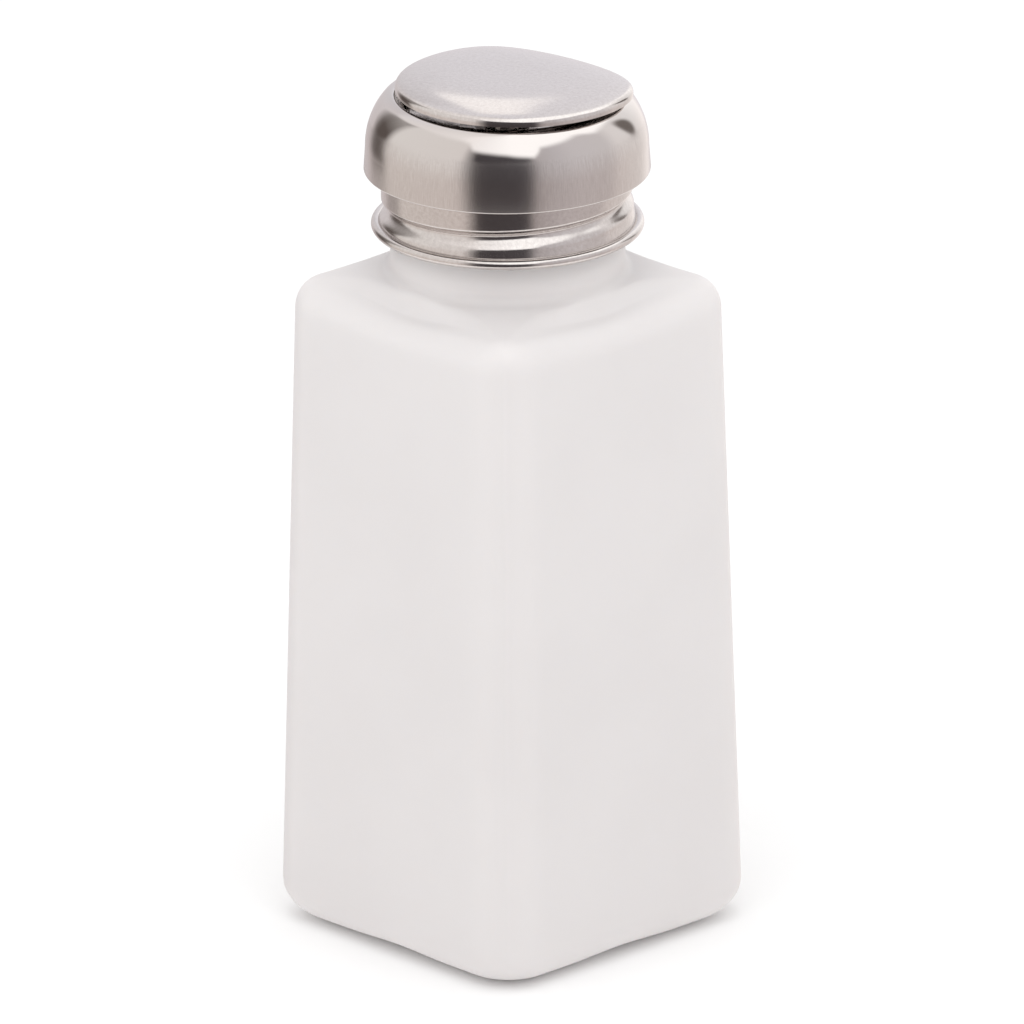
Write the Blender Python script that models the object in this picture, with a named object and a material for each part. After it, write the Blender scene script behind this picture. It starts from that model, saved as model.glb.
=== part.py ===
"""Pump dispenser bottle: a square plastic bottle with a screw-on steel pump head.

Metres, +Z up. The origin is the centre of the base, on the surface that the bottle stands on. The bottle's
flat sides face +X, -X, +Y and -Y. The cap's pieces are made with the lid's hinge at +Y, and the screwed-down cap
is then turned a little about the neck. Everything stacks up from the neck: the gasket lies on the neck, the
steel collar's top panel on the gasket, the well cup hangs through the panel, and the pump barrel hangs from the
well cup's floor.
"""

import math

import bmesh
import bpy
from mathutils import Matrix, Vector

# General clearances
MILLIMETRE = 0.001
SEAT_GAP = 0.0003
RUNNING_GAP = 0.00008
CUT_OVERRUN = 0.0020
WELD_DISTANCE = 0.0000001

# Bottle body: a tapered square with rounded corners and a low four-sided roof as its shoulder
BASE_SIDE = 0.0550
SHOULDER_SIDE = 0.05044
SHOULDER_HEIGHT = 0.1032
SHOULDER_PITCH = math.radians(18.5)
SHOULDER_ROUND = 0.0058
SHOULDER_SAG = 0.00125
SHOULDER_CORNER_SHARE = 0.4
BASE_CORNER_ROUND = 0.00775
TOP_CORNER_ROUND = 0.0072
HEEL_ROUND = 0.0061
BASE_ARCH = 0.0004
FOOT_BEARING = math.radians(27.0)
FOOT_WIDTH = 0.0029
PUSH_UP = 0.0018
PUSH_UP_SLOPE_WIDTH = 0.0040
BOTTLE_WALL = 0.0014

# Bottle neck
NECK_RISE = 0.0200
NECK_CREASE_RISE = 0.0043
NECK_CREASE_RIDGE = 0.0006
NECK_ROOT_DIAMETER = 0.0362
NECK_ROOT_FILLET = 0.0005
NECK_ROOT_TOP = 0.0064
NECK_TAPER_RISE = 0.0010
NECK_DIAMETER = 0.0351
NECK_BORE = 0.0304
NECK_LIP_CHAMFER = 0.0004

# Screw thread shared by the neck and the collar, right-handed
THREAD_PITCH = 0.0254 / 6
NECK_THREAD_DIAMETER = 0.0373
NECK_THREAD_CREST = 0.0013
NECK_THREAD_ROOT = 0.0026
NECK_THREAD_SINK = 0.0008
NECK_THREAD_TURNS = 1.1
NECK_THREAD_BELOW_LIP = 0.0060
CAP_TURN = math.radians(7.0)
GROOVE_BEARING = math.radians(152.0)
GROOVE_ABOVE_CURL = 0.0021
GROOVE_TURNS = 1.15
GROOVE_DEPTH = 0.00105
GROOVE_UPPER_WIDTH = 0.0013
GROOVE_LOWER_WIDTH = 0.0021
GROOVE_RUN_OUT = 0.12

# Gasket and steel collar
GASKET_THICKNESS = 0.0010
GASKET_OUTER = 0.0356
GASKET_CUP_GAP = 0.00055
COLLAR_SHEET = 0.00045
COLLAR_DIAMETER = 0.0389
COLLAR_CORNER_ROUND = 0.0008
COLLAR_DEPTH = 0.01175
COLLAR_FLARE = 0.00035
COLLAR_FLARE_RISE = 0.0030
CURL_RING_DIAMETER = 0.04048
CURL_WIRE_DIAMETER = 0.00156
CURL_START = math.radians(130.0)

# Dome ring: a straight skirt, a polished crown and a lip hemmed down round the opening
DOME_SHEET = 0.0005
SKIRT_DIAMETER = 0.04416
SKIRT_BELOW_PANEL = 0.00295
SKIRT_HEIGHT = 0.0037
SKIRT_TAPER = 0.00024
CROWN_REACH = 0.00769
CROWN_RISE = 0.0100
CROWN_SWEEP = math.radians(48.9)
LIP_ROUND = 0.00278
LIP_END_SLOPE = math.radians(10.0)
HEM_ROUND = 0.0006
HEM_DEPTH = 0.0008

# Well cup
CUP_SHEET = 0.00045
CUP_LEDGE_TO_RIM = 0.00785
WELL_NECK_GAP = 0.00175
CUP_WELL_DEPTH = 0.00955
CUP_CORNER_ROUND = 0.0008
DRAIN_HOLES = 3
DRAIN_HOLE_DIAMETER = 0.0016
DRAIN_CIRCLE_DIAMETER = 0.0210

# Pump barrel with its nut and washer
BARREL_FLANGE_DIAMETER = 0.0160
BARREL_FLANGE_THICKNESS = 0.0010
BARREL_DIAMETER = 0.0112
BARREL_BORE = 0.0088
BARREL_LENGTH = 0.0271
BARREL_FLOOR = 0.0010
BARREL_PORT = 0.0030
SOCKET_DIAMETER = 0.0072
SOCKET_LENGTH = 0.0060
WASHER_DIAMETER = 0.0180
WASHER_THICKNESS = 0.0008
NUT_ACROSS_FLATS = 0.0150
NUT_THICKNESS = 0.0040

# Guide bushing, seal, piston and stem
BUSHING_FLANGE_DIAMETER = 0.0108
BUSHING_FLANGE_THICKNESS = 0.00065
BUSHING_LENGTH = 0.0058
STEM_DIAMETER = 0.0048
STEM_BORE = 0.0024
SEAL_SECTION = 0.0010
PISTON_LENGTH = 0.0050
PISTON_GROOVE_DEPTH = 0.0007
PISTON_LAND = 0.0014
STROKE = 0.0042

# Inlet valve and dip tube
INLET_SEAT_LENGTH = 0.0052
INLET_SEAT_BORE = 0.0022
INLET_BALL_DIAMETER = 0.0032
INLET_BALL_LIFT = 0.0012
CAGE_THICKNESS = 0.0007
CAGE_PORTS = 3
CAGE_PORT_DIAMETER = 0.0016
CAGE_PORT_CIRCLE = 0.0044
DIP_TUBE_DIAMETER = 0.0044
DIP_TUBE_BORE = 0.0028
DIP_TUBE_BASE_GAP = 0.0018

# Dish, hub, outlet valve and return spring
DISH_SHEET = 0.0005
DISH_CUP_GAP = 0.0005
DISH_RIM_ROUND = 0.0007
DISH_DEPTH = 0.0021
DISH_FLAT_DIAMETER = 0.0100
HUB_FLANGE_DIAMETER = 0.0108
HUB_FLANGE_THICKNESS = 0.0014
HUB_SLEEVE_DIAMETER = 0.0072
HUB_SLEEVE_LENGTH = 0.0020
HUB_SPIGOT_DIAMETER = 0.0052
HUB_SPIGOT_RISE = 0.0011
HUB_PASSAGE = 0.0020
HUB_CHAMBER = 0.0034
OUTLET_BALL_DIAMETER = 0.0026
OUTLET_BALL_LIFT = 0.0008
OUTLET_CAP_WALL = 0.0007
OUTLET_CAP_ROOF = 0.0006
OUTLET_PORT_WIDTH = 0.0012
SPRING_WIRE = 0.0006
SPRING_MEAN_DIAMETER = 0.0092
SPRING_TURNS = 4.5
SPRING_POINTS_PER_TURN = 10

# Lid and its hinge
LID_SHEET = 0.00045
LID_DIAMETER = 0.0371
LID_SHIFT = 0.00085
LID_SIDE_SHIFT = 0.00103
LID_ABOVE_DOME = 0.00037
LID_CROWN = 0.00105
LID_CROWN_POWER = 4.0
LID_EDGE_ROUND = 0.0011
LID_EDGE_DROP = 0.00035
LID_BACK_REACH = 0.01436
LID_BACK_ROUND = 0.0512
LID_BACK_BLEND = 12.0
LID_REST_LIFT = math.radians(0.6)
PIN_DIAMETER = 0.0008
PIN_LENGTH = 0.0088
PIN_BEHIND_RIM = 0.0010
PIN_BELOW_LID = 0.0012
KNUCKLE_DIAMETER = 0.0017
HINGE_WIDTH = 0.0080
LEAF_KNUCKLE_WIDTH = 0.0026
LEAF_WIDTH = 0.0060
LEAF_LENGTH = 0.0064
LEAF_STEP_LENGTH = 0.0009
LEAF_SHEET = 0.00045
BRACKET_SHEET = 0.0005
BRACKET_LEG_LENGTH = 0.0054
HINGE_SLOT_MARGIN = 0.0006

# How finely round pieces are divided
VISIBLE_SIDES = 48
CUP_SIDES = 32
SMALL_SIDES = 16
TINY_SIDES = 12
NUT_SIDES = 24
O_RING_SIDES = 8
ARC_STEPS = 2
SOFT_ARC_STEPS = 4
CROWN_STEPS = 7
THREAD_ROWS = 11
THREAD_FADE_SHARE = 0.1
THREAD_FADES_PER_TURN = 4
LID_RING_SHARES = (0.35, 0.65, 0.88)

# Heights, worked out from the neck upwards and downwards
NECK_TOP = SHOULDER_HEIGHT + NECK_RISE
GASKET_BOTTOM = NECK_TOP + SEAT_GAP
PANEL_BOTTOM = GASKET_BOTTOM + GASKET_THICKNESS + SEAT_GAP
PANEL_TOP = PANEL_BOTTOM + COLLAR_SHEET
CURL_HEIGHT = PANEL_TOP - COLLAR_DEPTH
CUP_LEDGE_BOTTOM = PANEL_TOP + SEAT_GAP
CUP_RIM = CUP_LEDGE_BOTTOM + CUP_LEDGE_TO_RIM
CUP_FLOOR_BOTTOM = CUP_LEDGE_BOTTOM - CUP_WELL_DEPTH
CUP_FLOOR_TOP = CUP_FLOOR_BOTTOM + CUP_SHEET
FLANGE_BOTTOM = CUP_FLOOR_TOP + SEAT_GAP
FLANGE_TOP = FLANGE_BOTTOM + BARREL_FLANGE_THICKNESS
BUSHING_FLANGE_BOTTOM = FLANGE_TOP + SEAT_GAP
BUSHING_TOP = BUSHING_FLANGE_BOTTOM + BUSHING_FLANGE_THICKNESS
BUSHING_BOTTOM = BUSHING_FLANGE_BOTTOM - BUSHING_LENGTH
SEAL_TOP = BUSHING_BOTTOM - SEAT_GAP
PISTON_TOP = SEAL_TOP - SEAL_SECTION - SEAT_GAP
PISTON_BOTTOM = PISTON_TOP - PISTON_LENGTH
BARREL_BOTTOM = FLANGE_BOTTOM - BARREL_LENGTH
BARREL_FLOOR_TOP = BARREL_BOTTOM + BARREL_FLOOR
INLET_SEAT_BOTTOM = BARREL_FLOOR_TOP + SEAT_GAP
INLET_SEAT_TOP = INLET_SEAT_BOTTOM + INLET_SEAT_LENGTH
SOCKET_BOTTOM = BARREL_BOTTOM - SOCKET_LENGTH
DIP_TUBE_TOP = BARREL_BOTTOM - SEAT_GAP
DIP_TUBE_BOTTOM = PUSH_UP + BOTTLE_WALL + DIP_TUBE_BASE_GAP
DISH_RIM_UNDERSIDE = CUP_LEDGE_BOTTOM + CUP_SHEET + SEAT_GAP + STROKE
DISH_RIM_TOP = DISH_RIM_UNDERSIDE + DISH_SHEET + DISH_RIM_ROUND / 2
DISH_CENTRE_TOP = DISH_RIM_TOP - DISH_DEPTH
DISH_CENTRE_BOTTOM = DISH_CENTRE_TOP - DISH_SHEET
HUB_FLANGE_TOP = DISH_CENTRE_BOTTOM - SEAT_GAP
HUB_FLANGE_BOTTOM = HUB_FLANGE_TOP - HUB_FLANGE_THICKNESS
HUB_BOTTOM = HUB_FLANGE_BOTTOM - HUB_SLEEVE_LENGTH
HUB_TOP = DISH_CENTRE_TOP + HUB_SPIGOT_RISE
STEM_TOP = HUB_FLANGE_BOTTOM - 2 * SEAT_GAP
SPRING_BOTTOM = BUSHING_TOP + SEAT_GAP
SPRING_TOP = HUB_FLANGE_BOTTOM - SEAT_GAP

# Radii and places worked out from the sizes above
COLLAR_RADIUS = COLLAR_DIAMETER / 2
COLLAR_INSIDE = COLLAR_RADIUS - COLLAR_SHEET
GROOVE_HEIGHT = CURL_HEIGHT + GROOVE_ABOVE_CURL
SKIRT_BOTTOM = PANEL_TOP - SKIRT_BELOW_PANEL
SKIRT_RADIUS = SKIRT_DIAMETER / 2
BARREL_HOLE = BARREL_DIAMETER / 2 + SEAT_GAP
CUP_WELL_RADIUS = NECK_BORE / 2 - WELL_NECK_GAP
LID_EDGE_SLOPE = math.atan(LID_CROWN_POWER * LID_CROWN / (LID_DIAMETER / 2 - LID_EDGE_ROUND))


def clear_scene():
    for item in list(bpy.data.objects):
        bpy.data.objects.remove(item, do_unlink=True)


def make_material(name, colour, roughness, metallic=0.0):
    material = bpy.data.materials.new(name)
    material.use_nodes = True
    shader = material.node_tree.nodes["Principled BSDF"]
    shader.inputs["Base Color"].default_value = (*colour, 1.0)
    shader.inputs["Roughness"].default_value = roughness
    shader.inputs["Metallic"].default_value = metallic
    material.diffuse_color = (*colour, 1.0)
    return material


def add_axis(name, place, parent=None):
    """An empty on a joint's axis, which carries the pieces that move about it."""
    empty = bpy.data.objects.new(name, None)
    bpy.context.scene.collection.objects.link(empty)
    empty.location = place
    if parent:
        empty.parent = parent
        empty.location = Vector(place) - world_place(parent)
    return empty


def world_place(item):
    """Where an axis empty stands in the world, its own turn left out."""
    place = Vector(item.location)
    while item.parent:
        item = item.parent
        place += Vector(item.location)
    return place


def add_piece(name, mesh, material, axis=None):
    """Links a mesh that was made at its place in the world, and sets its origin on the axis that carries it."""
    piece = bpy.data.objects.new(name, mesh)
    bpy.context.scene.collection.objects.link(piece)
    piece.data.materials.append(material)
    if axis:
        piece.data.transform(Matrix.Translation(-world_place(axis)))
        piece.parent = axis
    return piece


def add_cutter(name, mesh, axis=None):
    """A helper that only cuts or joins: it takes no part in a render."""
    cutter = bpy.data.objects.new(name, mesh)
    bpy.context.scene.collection.objects.link(cutter)
    if axis:
        cutter.data.transform(Matrix.Translation(-world_place(axis)))
        cutter.parent = axis
    cutter.hide_render = True
    cutter.display_type = "WIRE"
    return cutter


def combine(piece, helper, operation):
    modifier = piece.modifiers.new(helper.name, "BOOLEAN")
    modifier.object = helper
    modifier.operation = operation
    modifier.solver = "EXACT"


def shade(mesh, smooth):
    if smooth:
        mesh.shade_smooth()
        mesh.set_sharp_from_angle(angle=math.radians(35))


def finish_mesh(name, bm, smooth=True):
    bmesh.ops.recalc_face_normals(bm, faces=bm.faces)
    mesh = bpy.data.meshes.new(name)
    bm.to_mesh(mesh)
    bm.free()
    shade(mesh, smooth)
    return mesh


def turned_mesh(name, outline, sides):
    """Spins a closed outline of (radius, height) points round the Z axis."""
    bm = bmesh.new()
    points = [bm.verts.new((radius, 0, height)) for radius, height in outline]
    edges = [bm.edges.new((a, b)) for a, b in zip(points, points[1:] + points[:1])]
    bmesh.ops.spin(bm, geom=points + edges, cent=(0, 0, 0), axis=(0, 0, 1), angle=math.tau, steps=sides,
                   use_merge=True)
    bmesh.ops.remove_doubles(bm, verts=bm.verts, dist=WELD_DISTANCE)
    return finish_mesh(name, bm)


def lofted_mesh(name, rings, closed):
    """Skins a list of rings that have as many points each. A ring of one point closes an end with a fan."""
    bm = bmesh.new()
    rows = [[bm.verts.new(point) for point in ring] for ring in rings]
    pairs = list(zip(rows, rows[1:]))
    if closed:
        pairs.append((rows[-1], rows[0]))
    for lower, upper in pairs:
        count = max(len(lower), len(upper))
        for i in range(count):
            j = (i + 1) % count
            if len(lower) == 1:
                bm.faces.new((lower[0], upper[j], upper[i]))
            elif len(upper) == 1:
                bm.faces.new((lower[i], lower[j], upper[0]))
            else:
                bm.faces.new((lower[i], lower[j], upper[j], upper[i]))
    return finish_mesh(name, bm)


def box_mesh(name, low, high):
    bm = bmesh.new()
    bmesh.ops.create_cube(bm, size=1)
    size = Vector(high) - Vector(low)
    middle = (Vector(high) + Vector(low)) / 2
    bmesh.ops.scale(bm, vec=size, verts=bm.verts)
    bmesh.ops.translate(bm, vec=middle, verts=bm.verts)
    return finish_mesh(name, bm, smooth=False)


def rod_mesh(name, radius, start, end, sides):
    """A round rod from one point to another."""
    start = Vector(start)
    along = Vector(end) - start
    bm = bmesh.new()
    bmesh.ops.create_cone(bm, cap_ends=True, segments=sides, radius1=radius, radius2=radius, depth=along.length)
    turn = along.to_track_quat("Z", "Y").to_matrix().to_4x4()
    bmesh.ops.transform(bm, matrix=Matrix.Translation(start + along / 2) @ turn, verts=bm.verts)
    return finish_mesh(name, bm)


def extruded_mesh(name, outline, half_width):
    """Extrudes an outline of (y, z) points along X, to half_width each side."""
    bm = bmesh.new()
    face = bm.faces.new([bm.verts.new((-half_width, y, z)) for y, z in outline])
    grown = bmesh.ops.extrude_face_region(bm, geom=[face])
    moved = [item for item in grown["geom"] if isinstance(item, bmesh.types.BMVert)]
    bmesh.ops.translate(bm, vec=(2 * half_width, 0, 0), verts=moved)
    return finish_mesh(name, bm, smooth=False)


def arc(centre, radius, start, end, steps):
    """Points on an arc, angles in radians from the +radius direction."""
    points = []
    for i in range(steps + 1):
        angle = start + (end - start) * i / steps
        points.append((centre[0] + radius * math.cos(angle), centre[1] + radius * math.sin(angle)))
    return points


def offset_path(path, distance):
    """The path moved sideways, to the left of its direction, with mitred corners."""
    moved = []
    for i, (radius, height) in enumerate(path):
        before = path[max(i - 1, 0)]
        after = path[min(i + 1, len(path) - 1)]
        normals = []
        for a, b in ((before, (radius, height)), ((radius, height), after)):
            run = Vector((b[0] - a[0], b[1] - a[1]))
            if run.length > 0:
                normals.append(Vector((-run.y, run.x)).normalized())
        middle = sum(normals, Vector((0, 0))).normalized()
        stretch = distance / middle.dot(normals[0])
        moved.append((radius + middle.x * stretch, height + middle.y * stretch))
    return moved


def sheet_outline(path, thickness):
    """A closed outline of sheet metal: the path, and the same path moved to its left by the thickness."""
    return path + offset_path(path, thickness)[::-1]


def ring_of_circle(radius, height):
    """Points in the order that square_ring gives them: quarter by quarter from +X."""
    count = VISIBLE_SIDES
    return [Vector((radius * math.cos(math.tau * i / count), radius * math.sin(math.tau * i / count), height))
            for i in range(count)]


def square_ring(half, corner, height, steps=6):
    """A square with rounded corners: in each quarter, half a side, a corner and half a side."""
    flat = half - corner
    quarter = [(half, flat * share) for share in (0, 1 / 3, 2 / 3)]
    quarter += arc((flat, flat), corner, 0, math.pi / 2, steps)
    quarter += [(flat * share, half) for share in (2 / 3, 1 / 3)]
    ring = []
    for turn in range(4):
        spin = Matrix.Rotation(turn * math.pi / 2, 3, "Z")
        ring += [spin @ Vector((x, y, height)) for x, y in quarter]
    return ring


def body_half(height):
    """Half of the bottle's side at a height, without the heel's rounding."""
    share = height / SHOULDER_HEIGHT
    return (BASE_SIDE + (SHOULDER_SIDE - BASE_SIDE) * share) / 2


def body_corner(height):
    return BASE_CORNER_ROUND + (TOP_CORNER_ROUND - BASE_CORNER_ROUND) * height / SHOULDER_HEIGHT


def arch_lift(point):
    """How far the base is lifted at this bearing: nothing at the corner feet, most at the middle of each side."""
    bearing = math.atan2(point.y, point.x) % (math.pi / 2)
    from_side = min(bearing, math.pi / 2 - bearing)
    share = min(from_side / FOOT_BEARING, 1)
    return BASE_ARCH * (1 + math.cos(math.pi * share)) / 2


def ridge_share(point):
    """Nothing at the middle of each side of the bottle, and one at each corner."""
    return (1 - math.cos(4 * math.atan2(point.y, point.x))) / 2


def heel_rings(wall, steps):
    """Rings from the base's flat to the side wall. The inside is the outside moved in by the wall."""
    radius = HEEL_ROUND - wall
    full = body_half(HEEL_ROUND)
    rings = []
    for i in range(steps + 1):
        angle = math.pi / 2 * i / steps
        half = full - HEEL_ROUND + radius * math.sin(angle)
        height = HEEL_ROUND - radius * math.cos(angle)
        fade = math.cos(angle)
        ring = square_ring(half, body_corner(HEEL_ROUND) * half / full, height)
        rings.append([point + Vector((0, 0, arch_lift(point) * fade)) for point in ring])
    return rings


def shoulder_rings(wall, steps):
    """Rings over the soft edge between the side wall and the shoulder, which sags at the middle of each side."""
    bend = math.pi / 2 - SHOULDER_PITCH
    start = SHOULDER_HEIGHT - SHOULDER_ROUND * math.tan(bend / 2)
    full = body_half(start)
    rings = []
    for i in range(steps + 1):
        share = i / steps
        angle = bend * share
        half = full - SHOULDER_ROUND * (1 - math.cos(angle)) - wall * math.cos(angle)
        height = start + SHOULDER_ROUND * math.sin(angle) - wall * math.sin(angle)
        corner = body_corner(start) * half / full * (1 + (SHOULDER_CORNER_SHARE - 1) * share)
        ring = square_ring(half, corner, height)
        rings.append([point - Vector((0, 0, SHOULDER_SAG * share * (1 - ridge_share(point)))) for point in ring])
    return rings


def crease_ring(radius, rise):
    """A circle where the neck meets the shoulder, a little higher towards each corner."""
    ring = ring_of_circle(radius, SHOULDER_HEIGHT + NECK_CREASE_RISE + rise)
    return [point + Vector((0, 0, NECK_CREASE_RIDGE * ridge_share(point))) for point in ring]


def bottle_mesh():
    foot_half = body_half(HEEL_ROUND) - HEEL_ROUND
    inner_half = foot_half - FOOT_WIDTH
    slope_half = inner_half - PUSH_UP_SLOPE_WIDTH
    corner_share = body_corner(HEEL_ROUND) / body_half(HEEL_ROUND)
    root = NECK_ROOT_DIAMETER / 2
    outside = [[Vector((0, 0, PUSH_UP))]]
    outside.append(square_ring(slope_half, corner_share * slope_half, PUSH_UP))
    inner_ring = square_ring(inner_half, corner_share * inner_half, 0)
    outside.append([point + Vector((0, 0, arch_lift(point))) for point in inner_ring])
    outside += heel_rings(0, SOFT_ARC_STEPS)
    outside += shoulder_rings(0, SOFT_ARC_STEPS)
    outside.append(crease_ring(root + NECK_ROOT_FILLET, -NECK_ROOT_FILLET / 2))
    outside.append(crease_ring(root, NECK_ROOT_FILLET))
    outside.append(ring_of_circle(root, SHOULDER_HEIGHT + NECK_ROOT_TOP))
    outside.append(ring_of_circle(NECK_DIAMETER / 2, SHOULDER_HEIGHT + NECK_ROOT_TOP + NECK_TAPER_RISE))
    outside.append(ring_of_circle(NECK_DIAMETER / 2, NECK_TOP - NECK_LIP_CHAMFER))
    outside.append(ring_of_circle(NECK_DIAMETER / 2 - NECK_LIP_CHAMFER, NECK_TOP))
    inside = [ring_of_circle(NECK_BORE / 2, NECK_TOP)]
    inside.append(crease_ring(NECK_BORE / 2, NECK_ROOT_FILLET - BOTTLE_WALL))
    inside.append(crease_ring(NECK_BORE / 2 + NECK_ROOT_FILLET, -BOTTLE_WALL))
    inside += shoulder_rings(BOTTLE_WALL, ARC_STEPS)[::-1]
    inside += heel_rings(BOTTLE_WALL, ARC_STEPS)[::-1]
    inside.append(square_ring(slope_half, corner_share * slope_half, PUSH_UP + BOTTLE_WALL))
    inside.append([Vector((0, 0, PUSH_UP + BOTTLE_WALL))])
    return lofted_mesh("bottle", outside + inside, closed=False)


def helix_height(turn):
    """The collar groove's height after this many turns from where it starts."""
    return GROOVE_HEIGHT + THREAD_PITCH * turn


def neck_thread_mesh():
    """A ridge wound round the neck, just above the collar's groove, with ends that run out to nothing."""
    root = NECK_DIAMETER / 2 - NECK_THREAD_SINK
    crest = NECK_THREAD_DIAMETER / 2
    ridge_depth = crest - (COLLAR_INSIDE - GROOVE_DEPTH)
    meeting_share = math.acos(1 - 2 * ridge_depth / GROOVE_DEPTH) / math.pi
    lift = GROOVE_UPPER_WIDTH * meeting_share + NECK_THREAD_CREST / 2 + SEAT_GAP
    first_turn = (NECK_TOP - NECK_THREAD_BELOW_LIP - GROOVE_HEIGHT - lift) / THREAD_PITCH
    steps = round(NECK_THREAD_TURNS * VISIBLE_SIDES)
    rings = []
    for i in range(steps + 1):
        turn = first_turn + NECK_THREAD_TURNS * i / steps
        bearing = CAP_TURN + GROOVE_BEARING + math.tau * turn
        middle = helix_height(turn) + lift
        from_end = min(i, steps - i) / VISIBLE_SIDES
        fade = min(1, THREAD_FADES_PER_TURN * from_end + THREAD_FADE_SHARE)
        top = root + (crest - root) * fade
        section = ((root, -NECK_THREAD_ROOT / 2), (top, -NECK_THREAD_CREST / 2),
                   (top, NECK_THREAD_CREST / 2), (root, NECK_THREAD_ROOT / 2))
        rings.append([Vector((radius * math.cos(bearing), radius * math.sin(bearing), middle + rise))
                      for radius, rise in section])
    bm = bmesh.new()
    rows = [[bm.verts.new(point) for point in ring] for ring in rings]
    for a, b in zip(rows, rows[1:]):
        for i in range(len(a)):
            j = (i + 1) % len(a)
            bm.faces.new((a[i], a[j], b[j], b[i]))
    bm.faces.new(rows[0][::-1])
    bm.faces.new(rows[-1])
    return finish_mesh("neck_thread", bm)


def groove_at(bearing, height):
    """How deep the rolled groove is at a point of the collar's wall, from 0 to the full depth."""
    deepest = 0
    start = (bearing - GROOVE_BEARING) / math.tau % 1
    for lap in range(math.ceil(GROOVE_TURNS) + 1):
        turn = start + lap
        if turn > GROOVE_TURNS:
            continue
        above = height - helix_height(turn)
        away = above / GROOVE_UPPER_WIDTH if above > 0 else -above / GROOVE_LOWER_WIDTH
        if away >= 1:
            continue
        fade = min(1, turn / GROOVE_RUN_OUT, (GROOVE_TURNS - turn) / GROOVE_RUN_OUT)
        deepest = max(deepest, GROOVE_DEPTH * fade * (1 + math.cos(math.pi * away)) / 2)
    return deepest


def flare_at(height):
    """How far the collar's wall flares outwards at a height, most at the curl."""
    share = min(max((height - CURL_HEIGHT) / COLLAR_FLARE_RISE, 0), 1)
    return COLLAR_FLARE * (1 + math.cos(math.pi * share)) / 2


def collar_rings():
    """Rings from the panel's hole over the panel, down the wall, round the curl and back up the inside."""
    hole = CUP_WELL_RADIUS + SEAT_GAP
    curl_middle = CURL_RING_DIAMETER / 2
    curl_wire = CURL_WIRE_DIAMETER / 2
    zone_bottom = CURL_HEIGHT + curl_wire
    zone_top = helix_height(GROOVE_TURNS) + GROOVE_UPPER_WIDTH
    rows = [zone_top + (zone_bottom - zone_top) * i / THREAD_ROWS for i in range(THREAD_ROWS + 1)]
    outside = [(hole, PANEL_TOP)]
    outside += arc((COLLAR_RADIUS - COLLAR_CORNER_ROUND, PANEL_TOP - COLLAR_CORNER_ROUND), COLLAR_CORNER_ROUND,
                   math.pi / 2, 0, ARC_STEPS)
    outside += [(COLLAR_RADIUS, row) for row in rows]
    outside += arc((curl_middle, CURL_HEIGHT), curl_wire, CURL_START, -math.pi / 2, 2 * ARC_STEPS)
    outside.append((COLLAR_RADIUS, CURL_HEIGHT - curl_wire))
    inside = [(COLLAR_INSIDE, CURL_HEIGHT)]
    inside += [(COLLAR_INSIDE, row) for row in rows[::-1]]
    inside.append((COLLAR_INSIDE, PANEL_BOTTOM - COLLAR_CORNER_ROUND / 2))
    inside.append((COLLAR_INSIDE - COLLAR_CORNER_ROUND / 2, PANEL_BOTTOM))
    inside.append((hole, PANEL_BOTTOM))
    rings = []
    for radius, height in outside + inside:
        ring = []
        for i in range(VISIBLE_SIDES):
            bearing = math.tau * i / VISIBLE_SIDES
            reach = radius
            if radius in (COLLAR_RADIUS, COLLAR_INSIDE):
                reach += flare_at(height) - groove_at(bearing, height)
            ring.append(Vector((reach * math.cos(bearing), reach * math.sin(bearing), height)))
        rings.append(ring)
    return rings


def dome_path():
    """The dome ring's outer face, from the skirt's lower edge up over the crown and down the hem."""
    crown_foot = SKIRT_BOTTOM + SKIRT_HEIGHT
    middle = SKIRT_RADIUS - SKIRT_TAPER - CROWN_REACH
    path = [(SKIRT_RADIUS, SKIRT_BOTTOM)]
    for i in range(CROWN_STEPS + 1):
        angle = CROWN_SWEEP * i / CROWN_STEPS
        path.append((middle + CROWN_REACH * math.cos(angle), crown_foot + CROWN_RISE * math.sin(angle)))
    slope = math.atan2(CROWN_RISE * math.cos(CROWN_SWEEP), CROWN_REACH * math.sin(CROWN_SWEEP))
    for round_size, end_slope in ((LIP_ROUND, LIP_END_SLOPE), (HEM_ROUND, -math.pi / 2)):
        radius, height = path[-1]
        for i in range(1, ARC_STEPS + 1):
            heading = slope + (end_slope - slope) * i / ARC_STEPS
            path.append((radius - round_size * (math.sin(slope) - math.sin(heading)),
                         height + round_size * (math.cos(heading) - math.cos(slope))))
        slope = end_slope
    radius, height = path[-1]
    path.append((radius, height - HEM_DEPTH))
    return path


DOME_PATH = dome_path()
DOME_TOP = max(height for radius, height in DOME_PATH)
OPENING_RADIUS = min(radius for radius, height in DOME_PATH)
CUP_RADIUS = OPENING_RADIUS - SEAT_GAP
LID_RIM_BOTTOM = DOME_TOP + LID_ABOVE_DOME
PIN_HEIGHT = LID_RIM_BOTTOM - PIN_BELOW_LID
PIN_REACH = OPENING_RADIUS + PIN_BEHIND_RIM
DISH_RADIUS = CUP_RADIUS - CUP_SHEET - DISH_CUP_GAP


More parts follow.
